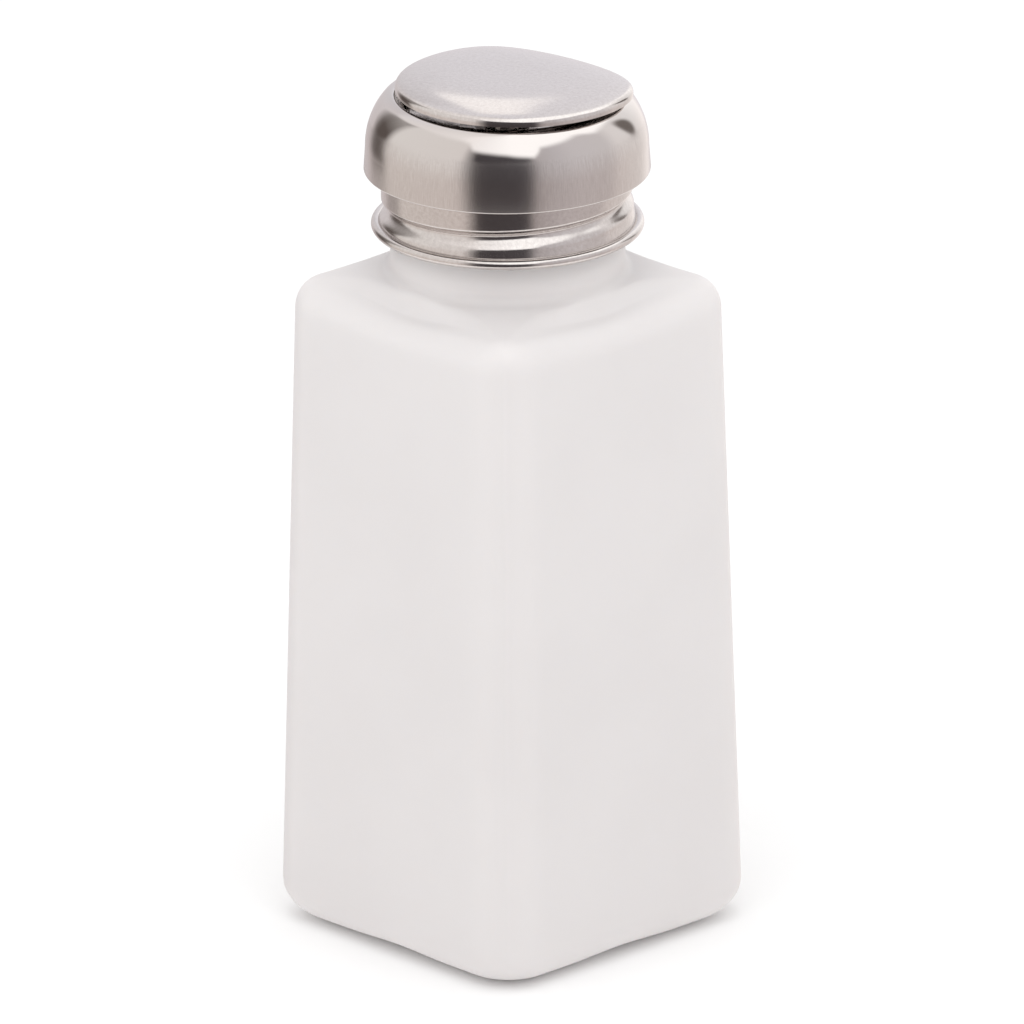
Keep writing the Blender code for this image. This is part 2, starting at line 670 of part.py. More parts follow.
def cup_outline():
    """The well cup's section: its rim, upper wall, ledge, well wall and floor."""
    round_size = CUP_CORNER_ROUND
    path = [(CUP_RADIUS, CUP_RIM)]
    path += arc((CUP_RADIUS - round_size, CUP_LEDGE_BOTTOM + round_size), round_size, 0, -math.pi / 2, ARC_STEPS)
    path += arc((CUP_WELL_RADIUS + round_size / 2, CUP_LEDGE_BOTTOM - round_size / 2), round_size / 2,
                math.pi / 2, math.pi, ARC_STEPS)
    path += arc((CUP_WELL_RADIUS - round_size, CUP_FLOOR_BOTTOM + round_size), round_size, 0, -math.pi / 2,
                ARC_STEPS)
    path.append((BARREL_HOLE, CUP_FLOOR_BOTTOM))
    return sheet_outline(path, -CUP_SHEET)


def dish_outline():
    """The dish's section: a rolled rim, a hollow face and a flat centre with a hole for the hub."""
    hole = HUB_SPIGOT_DIAMETER / 2 + SEAT_GAP
    flat = DISH_FLAT_DIAMETER / 2
    edge = DISH_RADIUS - 2 * DISH_RIM_ROUND
    path = [(DISH_RADIUS, DISH_RIM_UNDERSIDE + DISH_SHEET)]
    path.append((DISH_RADIUS - DISH_RIM_ROUND, DISH_RIM_TOP))
    steps = SOFT_ARC_STEPS
    for i in range(steps + 1):
        share = i / steps
        radius = edge + (flat - edge) * share
        path.append((radius, DISH_RIM_TOP - DISH_DEPTH * math.sin(math.pi / 2 * share)))
    path[2] = (edge, DISH_RIM_TOP - DISH_RIM_ROUND / 3)
    path.append((hole, DISH_CENTRE_TOP))
    return sheet_outline(path, DISH_SHEET)


def lid_top(reach):
    """The lid's top face over a distance from its own middle."""
    edge = LID_DIAMETER / 2 - LID_EDGE_ROUND * (1 - math.sin(LID_EDGE_SLOPE))
    shoulder = LID_RIM_BOTTOM + LID_EDGE_DROP + LID_EDGE_ROUND * math.cos(LID_EDGE_SLOPE)
    return shoulder + LID_CROWN * (1 - (abs(reach) / edge) ** LID_CROWN_POWER)


def lid_path():
    """The lid's top face, from the middle out to the lower edge of its turned-down rim."""
    radius = LID_DIAMETER / 2
    edge_middle = radius - LID_EDGE_ROUND
    edge = edge_middle + LID_EDGE_ROUND * math.sin(LID_EDGE_SLOPE)
    path = [(edge * share, lid_top(edge * share)) for share in LID_RING_SHARES]
    path += arc((edge_middle, LID_RIM_BOTTOM + LID_EDGE_DROP), LID_EDGE_ROUND, math.pi / 2 - LID_EDGE_SLOPE, 0,
                ARC_STEPS)
    path.append((radius, LID_RIM_BOTTOM))
    return path


def lid_reach_share(bearing):
    """The lid's outline: a circle, flattened to a wider arc towards the hinge at +Y, with rounded corners."""
    from_hinge = bearing - math.pi / 2
    middle = LID_BACK_REACH - LID_BACK_ROUND
    under_root = LID_BACK_ROUND ** 2 - (middle * math.sin(from_hinge)) ** 2
    reach = middle * math.cos(from_hinge) + math.sqrt(under_root)
    share = reach / (LID_DIAMETER / 2)
    return (1 + share ** -LID_BACK_BLEND) ** (-1 / LID_BACK_BLEND)


def lid_mesh():
    top = lid_path()
    under = offset_path(top, -LID_SHEET)
    under[-1] = (under[-1][0], LID_RIM_BOTTOM)
    rings = [[Vector((LID_SIDE_SHIFT, LID_SHIFT, lid_top(0)))]]
    for radius, height in top + under[::-1]:
        ring = []
        for i in range(VISIBLE_SIDES):
            bearing = math.tau * i / VISIBLE_SIDES
            reach = radius * lid_reach_share(bearing)
            ring.append(Vector((LID_SIDE_SHIFT + reach * math.cos(bearing), LID_SHIFT + reach * math.sin(bearing),
                                height)))
        rings.append(ring)
    rings.append([Vector((LID_SIDE_SHIFT, LID_SHIFT, lid_top(0) - LID_SHEET))])
    return lofted_mesh("lid_disc", rings, closed=False)


def leaf_outline():
    """The lid leaf's section, as (y, z): a tongue that passes under the lid's rim, a step up, and a strap."""
    share = LID_DIAMETER / 2 / LID_BACK_REACH
    under_rim = LID_SHIFT + LID_BACK_REACH - LID_SHEET - SEAT_GAP - LEAF_SHEET
    strap = under_rim - LEAF_STEP_LENGTH
    tongue_top = LID_RIM_BOTTOM - SEAT_GAP
    top = [(PIN_REACH, tongue_top), (under_rim, tongue_top)]
    for i in range(ARC_STEPS + 1):
        y = strap - LEAF_LENGTH * i / ARC_STEPS
        top.append((y, lid_top((y - LID_SHIFT) * share) - LID_SHEET - SEAT_GAP))
    return sheet_outline(top, LEAF_SHEET)


def spring_points():
    """A plain helix between the bushing and the hub's flange."""
    low = SPRING_BOTTOM + SPRING_WIRE / 2
    high = SPRING_TOP - SPRING_WIRE / 2
    count = round(SPRING_TURNS * SPRING_POINTS_PER_TURN)
    radius = SPRING_MEAN_DIAMETER / 2
    points = []
    for i in range(count + 1):
        angle = math.tau * SPRING_TURNS * i / count
        points.append((radius * math.cos(angle), radius * math.sin(angle), low + (high - low) * i / count))
    return points


def spring_self_gap(points):
    """The least gap between coils: between any two points half a turn or more apart along the wire."""
    nearest = min((Vector(a) - Vector(b)).length for i, a in enumerate(points)
                  for b in points[i + SPRING_POINTS_PER_TURN // 2:])
    return nearest - SPRING_WIRE


def ball_rest_height(seat_height, bore, ball_diameter):
    """The middle of a ball that rests a seat gap off a 45 degree seat, whose bore opens at seat_height."""
    return seat_height + (ball_diameter / 2 + SEAT_GAP) * math.sqrt(2) - bore / 2


def add_bottle(plastic):
    bottle = add_piece("bottle", bottle_mesh(), plastic)
    combine(bottle, add_cutter("neck_thread", neck_thread_mesh()), "UNION")


def add_gasket(foam, cap_axis):
    top = GASKET_BOTTOM + GASKET_THICKNESS
    inner = CUP_WELL_RADIUS + GASKET_CUP_GAP
    outline = [(inner, top), (GASKET_OUTER / 2, top), (GASKET_OUTER / 2, GASKET_BOTTOM), (inner, GASKET_BOTTOM)]
    add_piece("neck_gasket", turned_mesh("neck_gasket", outline, CUP_SIDES), foam, cap_axis)


def hinge_slot_mesh(name):
    """The notch at the back of the dome ring and the well cup, where the hinge's knuckles lie."""
    reach = KNUCKLE_DIAMETER / 2 + HINGE_SLOT_MARGIN
    half = HINGE_WIDTH / 2 + HINGE_SLOT_MARGIN
    low = (-half, CUP_RADIUS - CUP_SHEET - CUT_OVERRUN, PIN_HEIGHT - reach)
    high = (half, PIN_REACH + reach, PIN_HEIGHT + reach + CUT_OVERRUN)
    return box_mesh(name, low, high)


def add_cap_shells(steel, cap_axis):
    add_piece("threaded_collar", lofted_mesh("threaded_collar", collar_rings(), closed=True), steel, cap_axis)
    slot = add_cutter("hinge_slot", hinge_slot_mesh("hinge_slot"), cap_axis)
    dome = add_piece("dome_ring", turned_mesh("dome_ring", sheet_outline(DOME_PATH, DOME_SHEET), VISIBLE_SIDES),
                     steel, cap_axis)
    combine(dome, slot, "DIFFERENCE")
    cup = add_piece("well_cup", turned_mesh("well_cup", cup_outline(), CUP_SIDES), steel, cap_axis)
    combine(cup, slot, "DIFFERENCE")
    for i in range(DRAIN_HOLES):
        bearing = math.tau * (i + 0.5) / DRAIN_HOLES
        x = DRAIN_CIRCLE_DIAMETER / 2 * math.cos(bearing)
        y = DRAIN_CIRCLE_DIAMETER / 2 * math.sin(bearing)
        drill = rod_mesh(f"drain_drill_{i + 1}", DRAIN_HOLE_DIAMETER / 2, (x, y, CUP_FLOOR_BOTTOM - CUT_OVERRUN),
                         (x, y, CUP_FLOOR_TOP + CUT_OVERRUN), TINY_SIDES)
        combine(cup, add_cutter(f"drain_drill_{i + 1}", drill, cap_axis), "DIFFERENCE")


def add_hinge(steel, cap_axis, lid_axis):
    knuckle = KNUCKLE_DIAMETER / 2
    bore = PIN_DIAMETER / 2 + RUNNING_GAP
    leaf_half = LEAF_KNUCKLE_WIDTH / 2
    gap_half = leaf_half + SEAT_GAP
    outer = HINGE_WIDTH / 2
    leg_front = CUP_RADIUS + SEAT_GAP
    leg = box_mesh("hinge_bracket", (-outer, leg_front, PIN_HEIGHT - BRACKET_LEG_LENGTH),
                   (outer, leg_front + BRACKET_SHEET, PIN_HEIGHT))
    bracket = add_piece("hinge_bracket", leg, steel, cap_axis)
    barrel = rod_mesh("bracket_knuckles", knuckle, (-outer, PIN_REACH, PIN_HEIGHT), (outer, PIN_REACH, PIN_HEIGHT),
                      TINY_SIDES)
    combine(bracket, add_cutter("bracket_knuckles", barrel, cap_axis), "UNION")
    gap = box_mesh("bracket_gap", (-gap_half, leg_front - CUT_OVERRUN, PIN_HEIGHT - knuckle - SEAT_GAP),
                   (gap_half, PIN_REACH + knuckle + CUT_OVERRUN, PIN_HEIGHT + knuckle + CUT_OVERRUN))
    combine(bracket, add_cutter("bracket_gap", gap, cap_axis), "DIFFERENCE")
    drill = rod_mesh("bracket_drill", bore, (-outer - CUT_OVERRUN, PIN_REACH, PIN_HEIGHT),
                     (outer + CUT_OVERRUN, PIN_REACH, PIN_HEIGHT), TINY_SIDES)
    combine(bracket, add_cutter("bracket_drill", drill, cap_axis), "DIFFERENCE")

    pin = rod_mesh("hinge_pin", PIN_DIAMETER / 2, (-PIN_LENGTH / 2, PIN_REACH, PIN_HEIGHT),
                   (PIN_LENGTH / 2, PIN_REACH, PIN_HEIGHT), TINY_SIDES)
    add_piece("hinge_pin", pin, steel, cap_axis)

    leaf = add_piece("lid_leaf", extruded_mesh("lid_leaf", leaf_outline(), LEAF_WIDTH / 2), steel, lid_axis)
    for side in (-1, 1):
        name = f"leaf_trim_{'left' if side < 0 else 'right'}"
        near = side * leaf_half
        far = side * (LEAF_WIDTH / 2 + CUT_OVERRUN)
        trim = box_mesh(name, (min(near, far), LID_SHIFT + LID_BACK_REACH, PIN_HEIGHT - CUT_OVERRUN),
                        (max(near, far), PIN_REACH + CUT_OVERRUN, LID_RIM_BOTTOM + CUT_OVERRUN))
        combine(leaf, add_cutter(name, trim, lid_axis), "DIFFERENCE")
    roll = rod_mesh("leaf_knuckle", knuckle, (-leaf_half, PIN_REACH, PIN_HEIGHT), (leaf_half, PIN_REACH, PIN_HEIGHT),
                    TINY_SIDES)
    combine(leaf, add_cutter("leaf_knuckle", roll, lid_axis), "UNION")
    leaf_drill = rod_mesh("leaf_drill", bore, (-leaf_half - CUT_OVERRUN, PIN_REACH, PIN_HEIGHT),
                          (leaf_half + CUT_OVERRUN, PIN_REACH, PIN_HEIGHT), TINY_SIDES)
    combine(leaf, add_cutter("leaf_drill", leaf_drill, lid_axis), "DIFFERENCE")
    add_piece("lid_disc", lid_mesh(), steel, lid_axis)


def add_barrel(acetal, steel, cap_axis):
    outer = BARREL_DIAMETER / 2
    bore = BARREL_BORE / 2
    port = BARREL_PORT / 2
    socket = SOCKET_DIAMETER / 2
    socket_bore = DIP_TUBE_DIAMETER / 2 + SEAT_GAP
    flange = BARREL_FLANGE_DIAMETER / 2
    outline = [(bore, FLANGE_TOP), (flange, FLANGE_TOP), (flange, FLANGE_BOTTOM), (outer, FLANGE_BOTTOM),
               (outer, BARREL_BOTTOM), (socket, BARREL_BOTTOM), (socket, SOCKET_BOTTOM),
               (socket_bore, SOCKET_BOTTOM), (socket_bore, BARREL_BOTTOM), (port, BARREL_BOTTOM),
               (port, BARREL_FLOOR_TOP), (bore, BARREL_FLOOR_TOP)]
    add_piece("pump_barrel", turned_mesh("pump_barrel", outline, SMALL_SIDES), acetal, cap_axis)

    washer_top = CUP_FLOOR_BOTTOM - SEAT_GAP
    washer_bottom = washer_top - WASHER_THICKNESS
    washer = [(BARREL_HOLE, washer_top), (WASHER_DIAMETER / 2, washer_top), (WASHER_DIAMETER / 2, washer_bottom),
              (BARREL_HOLE, washer_bottom)]
    add_piece("barrel_washer", turned_mesh("barrel_washer", washer, SMALL_SIDES), steel, cap_axis)

    nut_top = washer_bottom - SEAT_GAP
    nut_rings = []
    for height, hexagon in ((nut_top, False), (nut_top, True), (nut_top - NUT_THICKNESS, True),
                            (nut_top - NUT_THICKNESS, False)):
        ring = []
        for i in range(NUT_SIDES):
            bearing = math.tau * i / NUT_SIDES
            reach = BARREL_HOLE
            if hexagon:
                from_flat = (bearing + math.pi / 6) % (math.pi / 3) - math.pi / 6
                reach = NUT_ACROSS_FLATS / 2 / math.cos(from_flat)
            ring.append(Vector((reach * math.cos(bearing), reach * math.sin(bearing), height)))
        nut_rings.append(ring)
    add_piece("barrel_nut", lofted_mesh("barrel_nut", nut_rings, closed=True), acetal, cap_axis)


def add_bushing_and_seal(acetal, rubber, cap_axis):
    bore = STEM_DIAMETER / 2 + RUNNING_GAP
    outer = BARREL_BORE / 2 - SEAT_GAP
    flange = BUSHING_FLANGE_DIAMETER / 2
    outline = [(bore, BUSHING_TOP), (flange, BUSHING_TOP), (flange, BUSHING_FLANGE_BOTTOM),
               (outer, BUSHING_FLANGE_BOTTOM), (outer, BUSHING_BOTTOM), (bore, BUSHING_BOTTOM)]
    add_piece("guide_bushing", turned_mesh("guide_bushing", outline, SMALL_SIDES), acetal, cap_axis)
    middle = (bore + outer) / 2
    section = []
    for i in range(O_RING_SIDES):
        angle = math.tau * i / O_RING_SIDES
        height = SEAL_TOP - SEAL_SECTION / 2 * (1 - math.sin(angle))
        section.append((middle + (outer - bore) / 2 * math.cos(angle), height))
    add_piece("stem_o_ring", turned_mesh("stem_o_ring", section, SMALL_SIDES), rubber, cap_axis)


def add_inlet_valve(acetal, steel, cap_axis, ball_axis):
    outer = BARREL_BORE / 2 - SEAT_GAP
    bore = INLET_SEAT_BORE / 2
    cone_rise = outer - bore - 2 * SEAT_GAP
    cone_foot = INLET_SEAT_TOP - cone_rise
    outline = [(bore + cone_rise, INLET_SEAT_TOP), (outer, INLET_SEAT_TOP), (outer, INLET_SEAT_BOTTOM),
               (bore, INLET_SEAT_BOTTOM), (bore, cone_foot)]
    add_piece("inlet_valve_seat", turned_mesh("inlet_valve_seat", outline, SMALL_SIDES), acetal, cap_axis)

    ball_middle = ball_rest_height(cone_foot, INLET_SEAT_BORE, INLET_BALL_DIAMETER)
    radius = INLET_BALL_DIAMETER / 2
    add_piece("inlet_ball", ball_mesh("inlet_ball", radius, ball_middle), steel, ball_axis)

    cage_bottom = ball_middle + radius + INLET_BALL_LIFT + SEAT_GAP
    cage_top = cage_bottom + CAGE_THICKNESS
    inner = outer - CAGE_THICKNESS
    cage = [(0, cage_top), (outer, cage_top), (outer, INLET_SEAT_TOP + SEAT_GAP), (inner, INLET_SEAT_TOP + SEAT_GAP),
            (inner, cage_bottom), (0, cage_bottom)]
    body = add_piece("inlet_ball_cage", turned_mesh("inlet_ball_cage", cage, SMALL_SIDES), acetal, cap_axis)
    for i in range(CAGE_PORTS):
        bearing = math.tau * i / CAGE_PORTS
        x = CAGE_PORT_CIRCLE / 2 * math.cos(bearing)
        y = CAGE_PORT_CIRCLE / 2 * math.sin(bearing)
        drill = rod_mesh(f"cage_drill_{i + 1}", CAGE_PORT_DIAMETER / 2, (x, y, cage_bottom - CAGE_THICKNESS),
                         (x, y, cage_top + CUT_OVERRUN), TINY_SIDES)
        combine(body, add_cutter(f"cage_drill_{i + 1}", drill, cap_axis), "DIFFERENCE")


def ball_mesh(name, radius, height):
    bm = bmesh.new()
    bmesh.ops.create_uvsphere(bm, u_segments=TINY_SIDES, v_segments=TINY_SIDES // 2, radius=radius)
    bmesh.ops.translate(bm, vec=(0, 0, height), verts=bm.verts)
    return finish_mesh(name, bm)


def add_dip_tube(plastic, cap_axis):
    outer = DIP_TUBE_DIAMETER / 2
    bore = DIP_TUBE_BORE / 2
    outline = [(bore, DIP_TUBE_TOP), (outer, DIP_TUBE_TOP), (outer, DIP_TUBE_BOTTOM), (bore, DIP_TUBE_BOTTOM)]
    tube = add_piece("dip_tube", turned_mesh("dip_tube", outline, SMALL_SIDES), plastic, cap_axis)
    wedge = box_mesh("dip_tube_cut", (-DIP_TUBE_DIAMETER, -DIP_TUBE_DIAMETER, -DIP_TUBE_DIAMETER),
                     (DIP_TUBE_DIAMETER, DIP_TUBE_DIAMETER, 0))
    wedge.transform(Matrix.Translation((0, 0, DIP_TUBE_BOTTOM + outer)) @ Matrix.Rotation(math.radians(35), 4, "Y"))
    combine(tube, add_cutter("dip_tube_cut", wedge, cap_axis), "DIFFERENCE")


def add_plunger(acetal, steel, rubber, plunger_axis, ball_axis):
    add_piece("pump_dish", turned_mesh("pump_dish", dish_outline(), CUP_SIDES), steel, plunger_axis)

    spigot = HUB_SPIGOT_DIAMETER / 2
    flange = HUB_FLANGE_DIAMETER / 2
    sleeve = HUB_SLEEVE_DIAMETER / 2
    socket = STEM_DIAMETER / 2 + SEAT_GAP
    passage = HUB_PASSAGE / 2
    chamber = HUB_CHAMBER / 2
    socket_top = STEM_TOP + SEAT_GAP
    cone_foot = HUB_FLANGE_BOTTOM + HUB_FLANGE_THICKNESS / 2
    cone_top = cone_foot + chamber - passage
    hub = [(chamber, HUB_TOP), (spigot, HUB_TOP), (spigot, HUB_FLANGE_TOP), (flange, HUB_FLANGE_TOP),
           (flange, HUB_FLANGE_BOTTOM), (sleeve, HUB_FLANGE_BOTTOM), (sleeve, HUB_BOTTOM), (socket, HUB_BOTTOM),
           (socket, socket_top), (passage, socket_top), (passage, cone_foot), (chamber, cone_top)]
    add_piece("dish_hub", turned_mesh("dish_hub", hub, SMALL_SIDES), acetal, plunger_axis)

    ball_middle = ball_rest_height(cone_foot, HUB_PASSAGE, OUTLET_BALL_DIAMETER)
    radius = OUTLET_BALL_DIAMETER / 2
    add_piece("outlet_ball", ball_mesh("outlet_ball", radius, ball_middle), steel, ball_axis)

    roof_bottom = max(ball_middle + radius + OUTLET_BALL_LIFT, HUB_TOP) + SEAT_GAP
    roof_top = roof_bottom + OUTLET_CAP_ROOF
    inner = spigot + SEAT_GAP
    outer = inner + OUTLET_CAP_WALL
    skirt_bottom = DISH_CENTRE_TOP + SEAT_GAP
    cap = [(0, roof_top), (outer - OUTLET_CAP_ROOF, roof_top), (outer, roof_top - OUTLET_CAP_ROOF),
           (outer, skirt_bottom), (inner, skirt_bottom), (inner, roof_bottom), (0, roof_bottom)]
    cover = add_piece("outlet_cap", turned_mesh("outlet_cap", cap, SMALL_SIDES), steel, plunger_axis)
    half = OUTLET_PORT_WIDTH / 2
    for name, low, high in (("port_cut_x", (-outer - CUT_OVERRUN, -half), (outer + CUT_OVERRUN, half)),
                            ("port_cut_y", (-half, -outer - CUT_OVERRUN), (half, outer + CUT_OVERRUN))):
        port = box_mesh(name, (*low, skirt_bottom - CUT_OVERRUN), (*high, skirt_bottom + OUTLET_PORT_WIDTH))
        combine(cover, add_cutter(name, port, plunger_axis), "DIFFERENCE")

    stem_bore = STEM_BORE / 2
    stem_radius = STEM_DIAMETER / 2
    piston_bore = stem_radius + SEAT_GAP
    stem = [(stem_bore, STEM_TOP), (stem_radius, STEM_TOP), (stem_radius, PISTON_BOTTOM),
            (stem_bore, PISTON_BOTTOM)]
    add_piece("plunger_stem", turned_mesh("plunger_stem", stem, SMALL_SIDES), steel, plunger_axis)

    rim = BARREL_BORE / 2 - SEAT_GAP
    groove = rim - PISTON_GROOVE_DEPTH
    groove_top = PISTON_TOP - PISTON_LAND
    groove_bottom = PISTON_BOTTOM + PISTON_LAND
    piston = [(piston_bore, PISTON_TOP), (rim, PISTON_TOP), (rim, groove_top), (groove, groove_top),
              (groove, groove_bottom), (rim, groove_bottom), (rim, PISTON_BOTTOM), (piston_bore, PISTON_BOTTOM)]
    add_piece("piston", turned_mesh("piston", piston, SMALL_SIDES), acetal, plunger_axis)

    seal_inner = groove + SEAT_GAP
    seal_outer = BARREL_BORE / 2 - RUNNING_GAP
    seal_top = groove_top - SEAT_GAP
    seal_bottom = groove_bottom + SEAT_GAP
    seal = [(seal_inner, seal_top), (rim, seal_top), (seal_outer, (seal_top + seal_bottom) / 2),
            (rim, seal_bottom), (seal_inner, seal_bottom)]
    add_piece("piston_seal", turned_mesh("piston_seal", seal, SMALL_SIDES), rubber, plunger_axis)


def add_spring(steel, cap_axis):
    points = spring_points()
    print(f"return_spring: least gap to itself {spring_self_gap(points) / MILLIMETRE:.2f} mm")
    curve = bpy.data.curves.new("return_spring", "CURVE")
    curve.dimensions = "3D"
    curve.bevel_depth = SPRING_WIRE / 2
    curve.bevel_resolution = 1
    curve.use_fill_caps = True
    spline = curve.splines.new("POLY")
    spline.points.add(len(points) - 1)
    for slot, point in zip(spline.points, points):
        slot.co = (*(Vector(point) - world_place(cap_axis)), 1)
    spring = bpy.data.objects.new("return_spring", curve)
    bpy.context.scene.collection.objects.link(spring)
    spring.data.materials.append(steel)
    spring.parent = cap_axis


def main():
    clear_scene()
    plastic = make_material("natural_polyethylene", (0.80, 0.78, 0.76), 0.45)
    steel = make_material("brushed_stainless_steel", (0.58, 0.56, 0.53), 0.30, 1.0)
    acetal = make_material("white_acetal", (0.75, 0.75, 0.72), 0.40)
    foam = make_material("foamed_polyethylene", (0.70, 0.70, 0.68), 0.80)
    rubber = make_material("black_nitrile_rubber", (0.03, 0.03, 0.03), 0.60)

    cap_axis = add_axis("cap_axis", (0, 0, NECK_TOP))
    lid_axis = add_axis("lid_axis", (0, PIN_REACH, PIN_HEIGHT), cap_axis)
    plunger_axis = add_axis("plunger_axis", (0, 0, STEM_TOP), cap_axis)
    inlet_axis = add_axis("inlet_ball_axis", (0, 0, INLET_SEAT_TOP), cap_axis)
    outlet_axis = add_axis("outlet_ball_axis", (0, 0, HUB_TOP), plunger_axis)

    add_bottle(plastic)
    add_gasket(foam, cap_axis)
    add_cap_shells(steel, cap_axis)
    add_hinge(steel, cap_axis, lid_axis)
    add_barrel(acetal, steel, cap_axis)
    add_bushing_and_seal(acetal, rubber, cap_axis)
    add_inlet_valve(acetal, steel, cap_axis, inlet_axis)
    add_dip_tube(plastic, cap_axis)
    add_plunger(acetal, steel, rubber, plunger_axis, outlet_axis)
    add_spring(steel, cap_axis)
    lid_axis.rotation_euler = (-LID_REST_LIFT, 0, 0)
    cap_axis.rotation_euler = (0, 0, CAP_TURN)


main()
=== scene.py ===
"""Looks for the pump dispenser bottle: finer shells over the frame's solids, materials, light and camera."""

import math

import bmesh
import bpy
from mathutils import Matrix, Vector


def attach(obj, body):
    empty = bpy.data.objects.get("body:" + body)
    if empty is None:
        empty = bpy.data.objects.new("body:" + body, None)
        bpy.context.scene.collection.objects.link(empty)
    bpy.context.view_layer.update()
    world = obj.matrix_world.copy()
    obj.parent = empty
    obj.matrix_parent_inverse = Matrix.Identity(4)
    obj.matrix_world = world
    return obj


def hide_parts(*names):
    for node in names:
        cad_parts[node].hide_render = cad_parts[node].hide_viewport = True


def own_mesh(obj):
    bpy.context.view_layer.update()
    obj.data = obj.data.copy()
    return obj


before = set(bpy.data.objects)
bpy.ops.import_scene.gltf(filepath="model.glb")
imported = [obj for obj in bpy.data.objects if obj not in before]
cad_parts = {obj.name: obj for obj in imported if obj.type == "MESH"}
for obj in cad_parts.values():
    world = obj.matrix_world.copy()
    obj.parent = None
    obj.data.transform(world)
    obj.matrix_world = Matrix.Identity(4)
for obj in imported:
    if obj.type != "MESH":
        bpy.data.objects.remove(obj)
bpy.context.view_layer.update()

MM = 0.001

# Bottle, as the frame has it: a tapered square, a low four-sided roof as its shoulder, and a round neck
BASE_SIDE = 55.0 * MM
SHOULDER_SIDE = 50.44 * MM
SHOULDER_HEIGHT = 103.2 * MM
SHOULDER_PITCH = math.radians(18.5)
SHOULDER_ROUND = 5.8 * MM
SHOULDER_SAG = 1.25 * MM
SHOULDER_CORNER_SHARE = 0.4
SHOULDER_COVE_SHARE = 0.35
BASE_CORNER_ROUND = 7.75 * MM
TOP_CORNER_ROUND = 7.2 * MM
HEEL_ROUND = 6.1 * MM
BASE_ARCH = 0.4 * MM
FOOT_BEARING = math.radians(27.0)
FOOT_WIDTH = 2.9 * MM
PUSH_UP = 1.8 * MM
PUSH_UP_SLOPE_WIDTH = 4.0 * MM
BOTTLE_WALL = 1.4 * MM
NECK_CREASE_HEIGHT = 106.7 * MM
NECK_TOP = 123.2 * MM
NECK_ROOT_RADIUS = 18.1 * MM
NECK_ROOT_FILLET = 1.3 * MM
NECK_ROOT_TOP = 109.6 * MM
NECK_TAPER_RISE = 1.0 * MM
NECK_RADIUS = 17.55 * MM
NECK_BORE_RADIUS = 15.2 * MM
NECK_LIP_CHAMFER = 0.4 * MM
SEAM_QUARTERS = (1, 3)
SEAM_HALF_ANGLE = math.radians(2.0)
SEAM_PROUD = 0.025 * MM

# Screw thread and the collar's rolled groove
THREAD_PITCH = 25.4 * MM / 6
THREAD_CREST_RADIUS = 18.65 * MM
THREAD_ROOT_RADIUS = 16.75 * MM
THREAD_CREST_WIDTH = 1.3 * MM
THREAD_ROOT_WIDTH = 2.6 * MM
THREAD_TURNS = 1.1
THREAD_LIFT = 1.74 * MM
THREAD_START_HEIGHT = 117.2 * MM
THREAD_FADE_SHARE = 0.1
THREAD_FADES_PER_TURN = 4
CAP_TURN = math.radians(7.0)
GROOVE_BEARING = math.radians(152.0)
GROOVE_START_HEIGHT = 115.6 * MM
GROOVE_TURNS = 1.15
GROOVE_DEPTH = 1.05 * MM
GROOVE_UPPER_WIDTH = 1.3 * MM
GROOVE_LOWER_WIDTH = 2.1 * MM
GROOVE_RUN_OUT = 0.12

# Collar, dome ring, well cup, dish and lid, by radius and height
COLLAR_RADIUS = 19.45 * MM
SHEET = 0.45 * MM
COLLAR_TOP = 125.25 * MM
COLLAR_CORNER_ROUND = 0.8 * MM
COLLAR_HOLE_RADIUS = 13.75 * MM
COLLAR_FLARE = 0.35 * MM
COLLAR_FLARE_RISE = 3.0 * MM
CURL_RADIUS = 20.24 * MM
CURL_HEIGHT = 113.5 * MM
CURL_WIRE = 0.78 * MM
CURL_START = math.radians(130.0)
DOME_SHEET = 0.5 * MM
SKIRT_RADIUS = 22.08 * MM
SKIRT_BOTTOM = 122.3 * MM
SKIRT_HEIGHT = 3.7 * MM
SKIRT_TAPER = 0.24 * MM
CROWN_REACH = 7.69 * MM
CROWN_RISE = 10.0 * MM
CROWN_SWEEP = math.radians(48.9)
LIP_ROUND = 2.78 * MM
LIP_END_SLOPE = math.radians(10.0)
HEM_ROUND = 0.6 * MM
HEM_DEPTH = 0.8 * MM
LID_RADIUS = 18.55 * MM
LID_SHIFT = 0.85 * MM
LID_SIDE_SHIFT = 1.03 * MM
LID_ABOVE_DOME = 0.37 * MM
LID_CROWN = 1.05 * MM
LID_CROWN_POWER = 4.0
LID_EDGE_ROUND = 1.1 * MM
LID_EDGE_DROP = 0.35 * MM
LID_EDGE_SLOPE = math.atan(LID_CROWN_POWER * LID_CROWN / (LID_RADIUS - LID_EDGE_ROUND))
LID_BACK_REACH = 14.36 * MM
LID_BACK_ROUND = 51.2 * MM
LID_BACK_BLEND = 12.0
LID_REST_LIFT = math.radians(0.6)
PIN_BEHIND_RIM = 1.0 * MM
PIN_BELOW_LID = 1.2 * MM
KNUCKLE_RADIUS = 0.85 * MM
HINGE_WIDTH = 8.0 * MM
HINGE_SLOT_MARGIN = 0.6 * MM
CUP_GAP = 0.3 * MM
CUT_OVERRUN = 2.0 * MM

